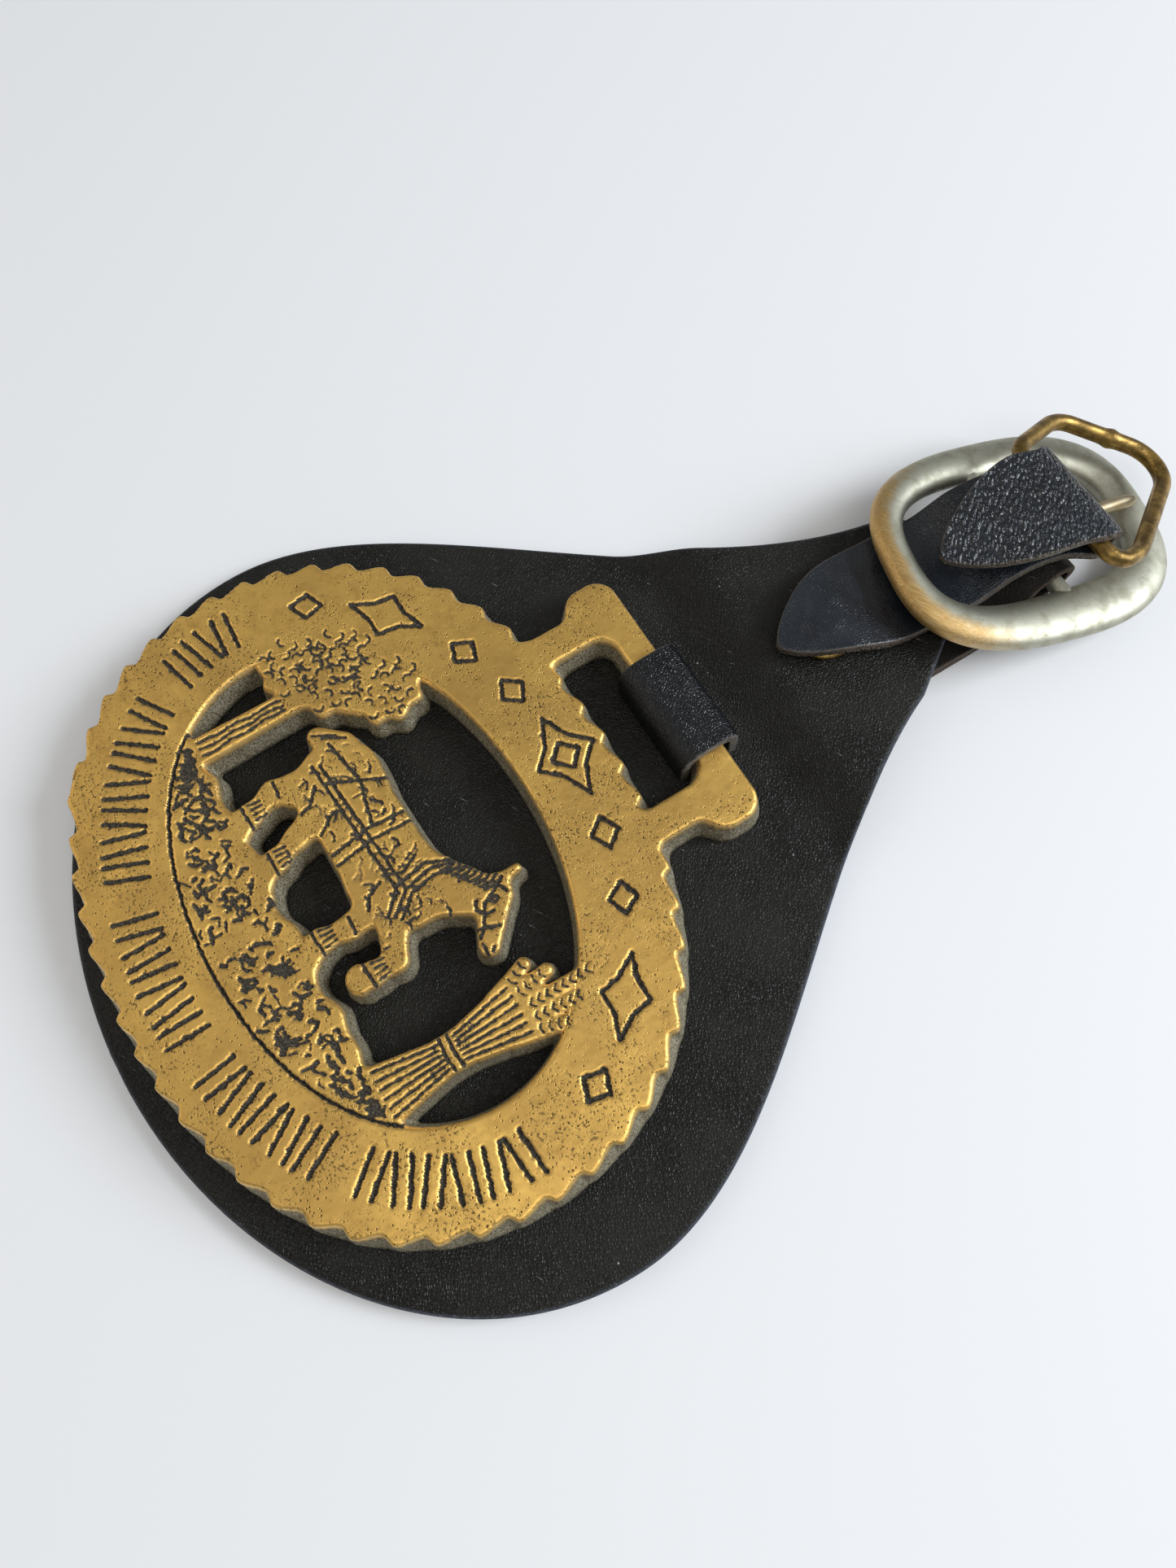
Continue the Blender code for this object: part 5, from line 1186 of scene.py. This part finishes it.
def pointed_strap_path():
    """Over the rivet's head and the neck, up over the bar, round the wire and back on top."""
    points = [(2.2 * MM, RIVET_Y - 6.4 * MM, STRAP_ON_RIVET - 0.5 * MM),
              (2.0 * MM, RIVET_Y + 0.6 * MM, STRAP_ON_RIVET + 0.2 * MM),
              (2.4 * MM, RIVET_Y + 7.0 * MM, STRAP_ON_NECK + 0.15 * MM),
              (2.8 * MM, NECK_END - 5.4 * MM, STRAP_ON_NECK + 0.1 * MM),
              (3.2 * MM, NECK_END - 0.5 * MM, STRAP_ON_NECK + 0.2 * MM),
              (3.5 * MM, FRAME_Y - 4.8 * MM, STRAP_OVER_BAR - 1.1 * MM),
              (4.6 * MM, FRAME_Y, STRAP_OVER_BAR)]
    points += [(STRAP_FOLD_X, WIRE_BAR_Y + WIRE_EYE * np.cos(a), WIRE_BAR_Z + WIRE_EYE * np.sin(a))
               for a in np.radians(np.arange(-90, 91, 30))]
    top = WIRE_BAR_Z + WIRE_EYE
    points += [(5.7 * MM, FRAME_Y, top),
               (5.3 * MM, FRAME_Y - 4.8 * MM, top - 0.6 * MM),
               (5.1 * MM, FRAME_Y - 9.3 * MM, top - 1.5 * MM),
               (4.7 * MM, FRAME_Y - 13.2 * MM, top - 2.6 * MM)]
    return curve_through(points, 0.25 * MM)


def pointed_half(distance):
    """Half width near an end: an arch that closes to a blunt tip."""
    share = np.clip(distance / STRAP_POINT, 0, 1)
    return np.maximum(STRAP_HALF_WIDTH * np.sin(share * np.pi / 2)**STRAP_POINT_FULLNESS, 0.5 * MM)


strap_path, strap_along = pointed_strap_path()
strap_half = np.minimum(pointed_half(strap_along), pointed_half(strap_along[-1] - strap_along))
strap_piece = strip("pointed_strap_leather", strap_path, strap_half, STRAP_THICK, STRAP_EDGE_RADIUS,
                    across=61, seed=8)
grained_leather = black_leather("open_grained_leather", STRAP_DYE, 3.0, 0.03, STRAP_CUT_EDGE,
                                gloss=(0.15, 0.32), dust=0.2, pebble_depth=0.34, shine=0.6)
dress(strap_piece, grained_leather, "grained_leather", "pointed_strap")


# Wire loop: brass wire bent by hand, its two ends butted and soldered on the far side.
# It carries the fold of the pointed strap and stands free beyond the buckle.

WIRE_REACH = 20.6 * MM
WIRE_BAR_CORNER = 2.3 * MM
WIRE_BOW_CORNER = 4.4 * MM
WIRE_PLAN = ((-0.98, 0.0), (-1.2, 0.45), (0.0, 0.99), (0.968, 0.228), (1.02, 0.0))
WIRE_SHOWN_RADIUS = 0.93 * WIRE_RADIUS          # keeps the swollen joint and the bow inside the solid's box
SOLDER_SWELL = 0.2
SOLDER_LENGTH = 0.7 * MM
WIRE_FAR_Z = FRAME_LIMB_THICK + 2 * CLEAR + WIRE_RADIUS


def wire_path():
    """Five corners, each cut by an arc: a straight bar in the fold and an uneven bow."""
    half = STRAP_HALF_WIDTH + 0.2 * MM + WIRE_BAR_CORNER
    plan = np.array(WIRE_PLAN)
    corners = np.column_stack([STRAP_FOLD_X + plan[:, 0] * half, WIRE_BAR_Y + plan[:, 1] * WIRE_REACH,
                               WIRE_BAR_Z - plan[:, 1] * (WIRE_BAR_Z - WIRE_FAR_Z)])
    radii = [WIRE_BAR_CORNER, WIRE_BOW_CORNER, WIRE_BOW_CORNER, WIRE_BOW_CORNER, WIRE_BAR_CORNER]
    points = []
    neighbours = np.roll(corners, 1, axis=0), np.roll(corners, -1, axis=0)
    for corner, before, after, radius in zip(corners, *neighbours, radii):
        back = (before - corner) / np.linalg.norm(before - corner)
        on = (after - corner) / np.linalg.norm(after - corner)
        half_angle = np.arccos(back @ on) / 2
        middle = corner + (back + on) / np.linalg.norm(back + on) * radius / np.sin(half_angle)
        reach = radius / np.tan(half_angle)
        first, last = corner + back * reach - middle, corner + on * reach - middle
        sweep = np.arccos(first @ last / radius**2)
        t = np.linspace(0, 1, 14)[:, None]
        points.append(middle + (np.sin((1 - t) * sweep) * first + np.sin(t * sweep) * last) / np.sin(sweep))
    corners_done = np.concatenate(points)
    closed = np.concatenate([corners_done, corners_done[:1]])
    length = run_along(closed)
    return read_at(np.linspace(0, length[-1], 301)[:-1], length, closed)


def dark_brass(name):
    """Old wire: brown-gold, darker in patches, with lines drawn along it."""
    finish = Finish(name, Metallic=1.0)
    patchy = finish.cloud(0.5, 5.0, 0.65)
    drawn = finish.cloud((3.0, 1.2, 3.0), 4.0)
    colour = finish.mix(patchy.between(0.36, 0.64), (0.37, 0.235, 0.07), (0.14, 0.088, 0.03))
    finish.feed("Base Color", finish.mix(drawn.between(0.62, 0.74) * 0.6, colour, (0.62, 0.44, 0.18)))
    finish.feed("Roughness", 0.24 + 0.3 * patchy)
    finish.relief(patchy * 0.6 + drawn * 0.4, 0.05)
    return finish


wire_line = wire_path()
solder = np.array([0.0 * MM, FRAME_Y + 18.4 * MM])
near_joint = np.exp(-(np.linalg.norm(wire_line[:, :2] - solder, axis=1) / SOLDER_LENGTH)**2)
near_joint = near_joint / near_joint.max()
wire_rings = tube(wire_line, WIRE_SHOWN_RADIUS * (1 + SOLDER_SWELL * near_joint), 22, closed=True)
wire = skin("bent_wire_loop", *ringed(wire_rings, closed=True))
dress(wire, dark_brass("dark_brass_wire"), "wire", "wire_loop")


# Rivet: turned brass, its low domed head on the neck under the pointed strap and its
# tail under the folded strap.

RIVET_SHANK_RADIUS = 1.2 * MM
RIVET_HEAD_RADIUS = 3.6 * MM
RIVET_HEAD_SIDE = 0.25 * MM


def rivet_rings(sides=64):
    """A profile of radius and height turned round the rivet's axis."""
    head = NECK_TOP + CLEAR
    dome = np.linspace(0, np.pi / 2 * 0.97, 14)
    radius = np.concatenate([[0.01 * MM, RIVET_SHANK_RADIUS, RIVET_SHANK_RADIUS, RIVET_HEAD_RADIUS],
                             RIVET_HEAD_RADIUS * np.cos(dome)**0.6])
    height = np.concatenate([[0.1 * MM, 0.1 * MM, head, head],
                             head + RIVET_HEAD_SIDE + (RIVET_HEAD_HEIGHT - RIVET_HEAD_SIDE) * np.sin(dome)])
    turn = np.arange(sides) * 2 * np.pi / sides
    return np.stack([RIVET_X + radius[:, None] * np.cos(turn), RIVET_Y + radius[:, None] * np.sin(turn),
                     np.broadcast_to(height[:, None], (len(radius), sides))], axis=-1)


rivet_points, rivet_faces = ringed(rivet_rings()[:, ::-1])
rivet = skin("neck_rivet_brass", rivet_points, rivet_faces)
dress(rivet, dark_brass("rivet_brass"), "brass", "neck_rivet")


# Stage: a plain pale table, a soft window light from beyond the buckle, a weaker one
# overhead, a faint warm one from the other end, and the camera close above the brass.

FLOOR_HALF = 1.2
FLOOR_Z = -0.05 * MM
FLOOR_COLOUR = (0.815, 0.82, 0.84, 1.0)
ROOM_COLOUR = (0.95, 0.98, 1.0, 1.0)
ROOM_STRENGTH = 0.33
CAMERA_LENS = 27.0
CAMERA_RIGHT = (0.5283, 0.8487, -0.0260)
CAMERA_DOWN = (0.7988, -0.5071, -0.3236)
CAMERA_AHEAD = (-0.2878, 0.1502, -0.9458)
CAMERA_PLACE = np.array([43.5, 6.1, 135.0]) * MM

floor_mesh = bpy.data.meshes.new("table")
floor_corners = [(x * FLOOR_HALF, y * FLOOR_HALF, FLOOR_Z) for x, y in ((-1, -1), (1, -1), (1, 1), (-1, 1))]
floor_mesh.from_pydata(floor_corners, [], [(0, 1, 2, 3)])
table = bpy.data.objects.new("table", floor_mesh)
bpy.context.scene.collection.objects.link(table)
table_finish = Finish("pale_table", Roughness=0.6)
table_finish.shader.inputs["Base Color"].default_value = FLOOR_COLOUR
floor_mesh.materials.append(table_finish.material)


def soft_light(name, place, size, power, colour):
    """A square area light that faces the middle of the hanger."""
    data = bpy.data.lights.new(name, "AREA")
    data.size = size
    data.energy = power
    data.color = colour
    lamp = bpy.data.objects.new(name, data)
    bpy.context.scene.collection.objects.link(lamp)
    lamp.location = place
    lamp.rotation_euler = (-Vector(place)).to_track_quat("-Z", "Y").to_euler()


soft_light("window_light", (0.42, 0.72, 0.55), 0.5, 9.6, (0.88, 0.94, 1.0))
soft_light("ceiling_light", (0.36, -0.06, 0.80), 0.6, 1.9, (1.0, 0.97, 0.91))
soft_light("warm_fill", (-0.5, -0.6, 0.5), 0.7, 1.2, (1.0, 0.88, 0.72))

world = bpy.data.worlds.new("pale_room")
world.use_nodes = True
background = world.node_tree.nodes["Background"]
background.inputs["Color"].default_value = ROOM_COLOUR
background.inputs["Strength"].default_value = ROOM_STRENGTH
bpy.context.scene.world = world
bpy.context.scene.view_settings.view_transform = "Standard"

camera_data = bpy.data.cameras.new("close_camera")
camera_data.lens = CAMERA_LENS
camera_data.sensor_width = 36.0
camera_data.sensor_fit = "AUTO"
camera_data.clip_start = 0.005
camera = bpy.data.objects.new("close_camera", camera_data)
bpy.context.scene.collection.objects.link(camera)
axes = np.column_stack([CAMERA_RIGHT, -np.array(CAMERA_DOWN), -np.array(CAMERA_AHEAD)])
camera.matrix_world = Matrix.Translation(CAMERA_PLACE + HANG) @ Matrix(axes.tolist()).to_4x4()
bpy.context.scene.camera = camera
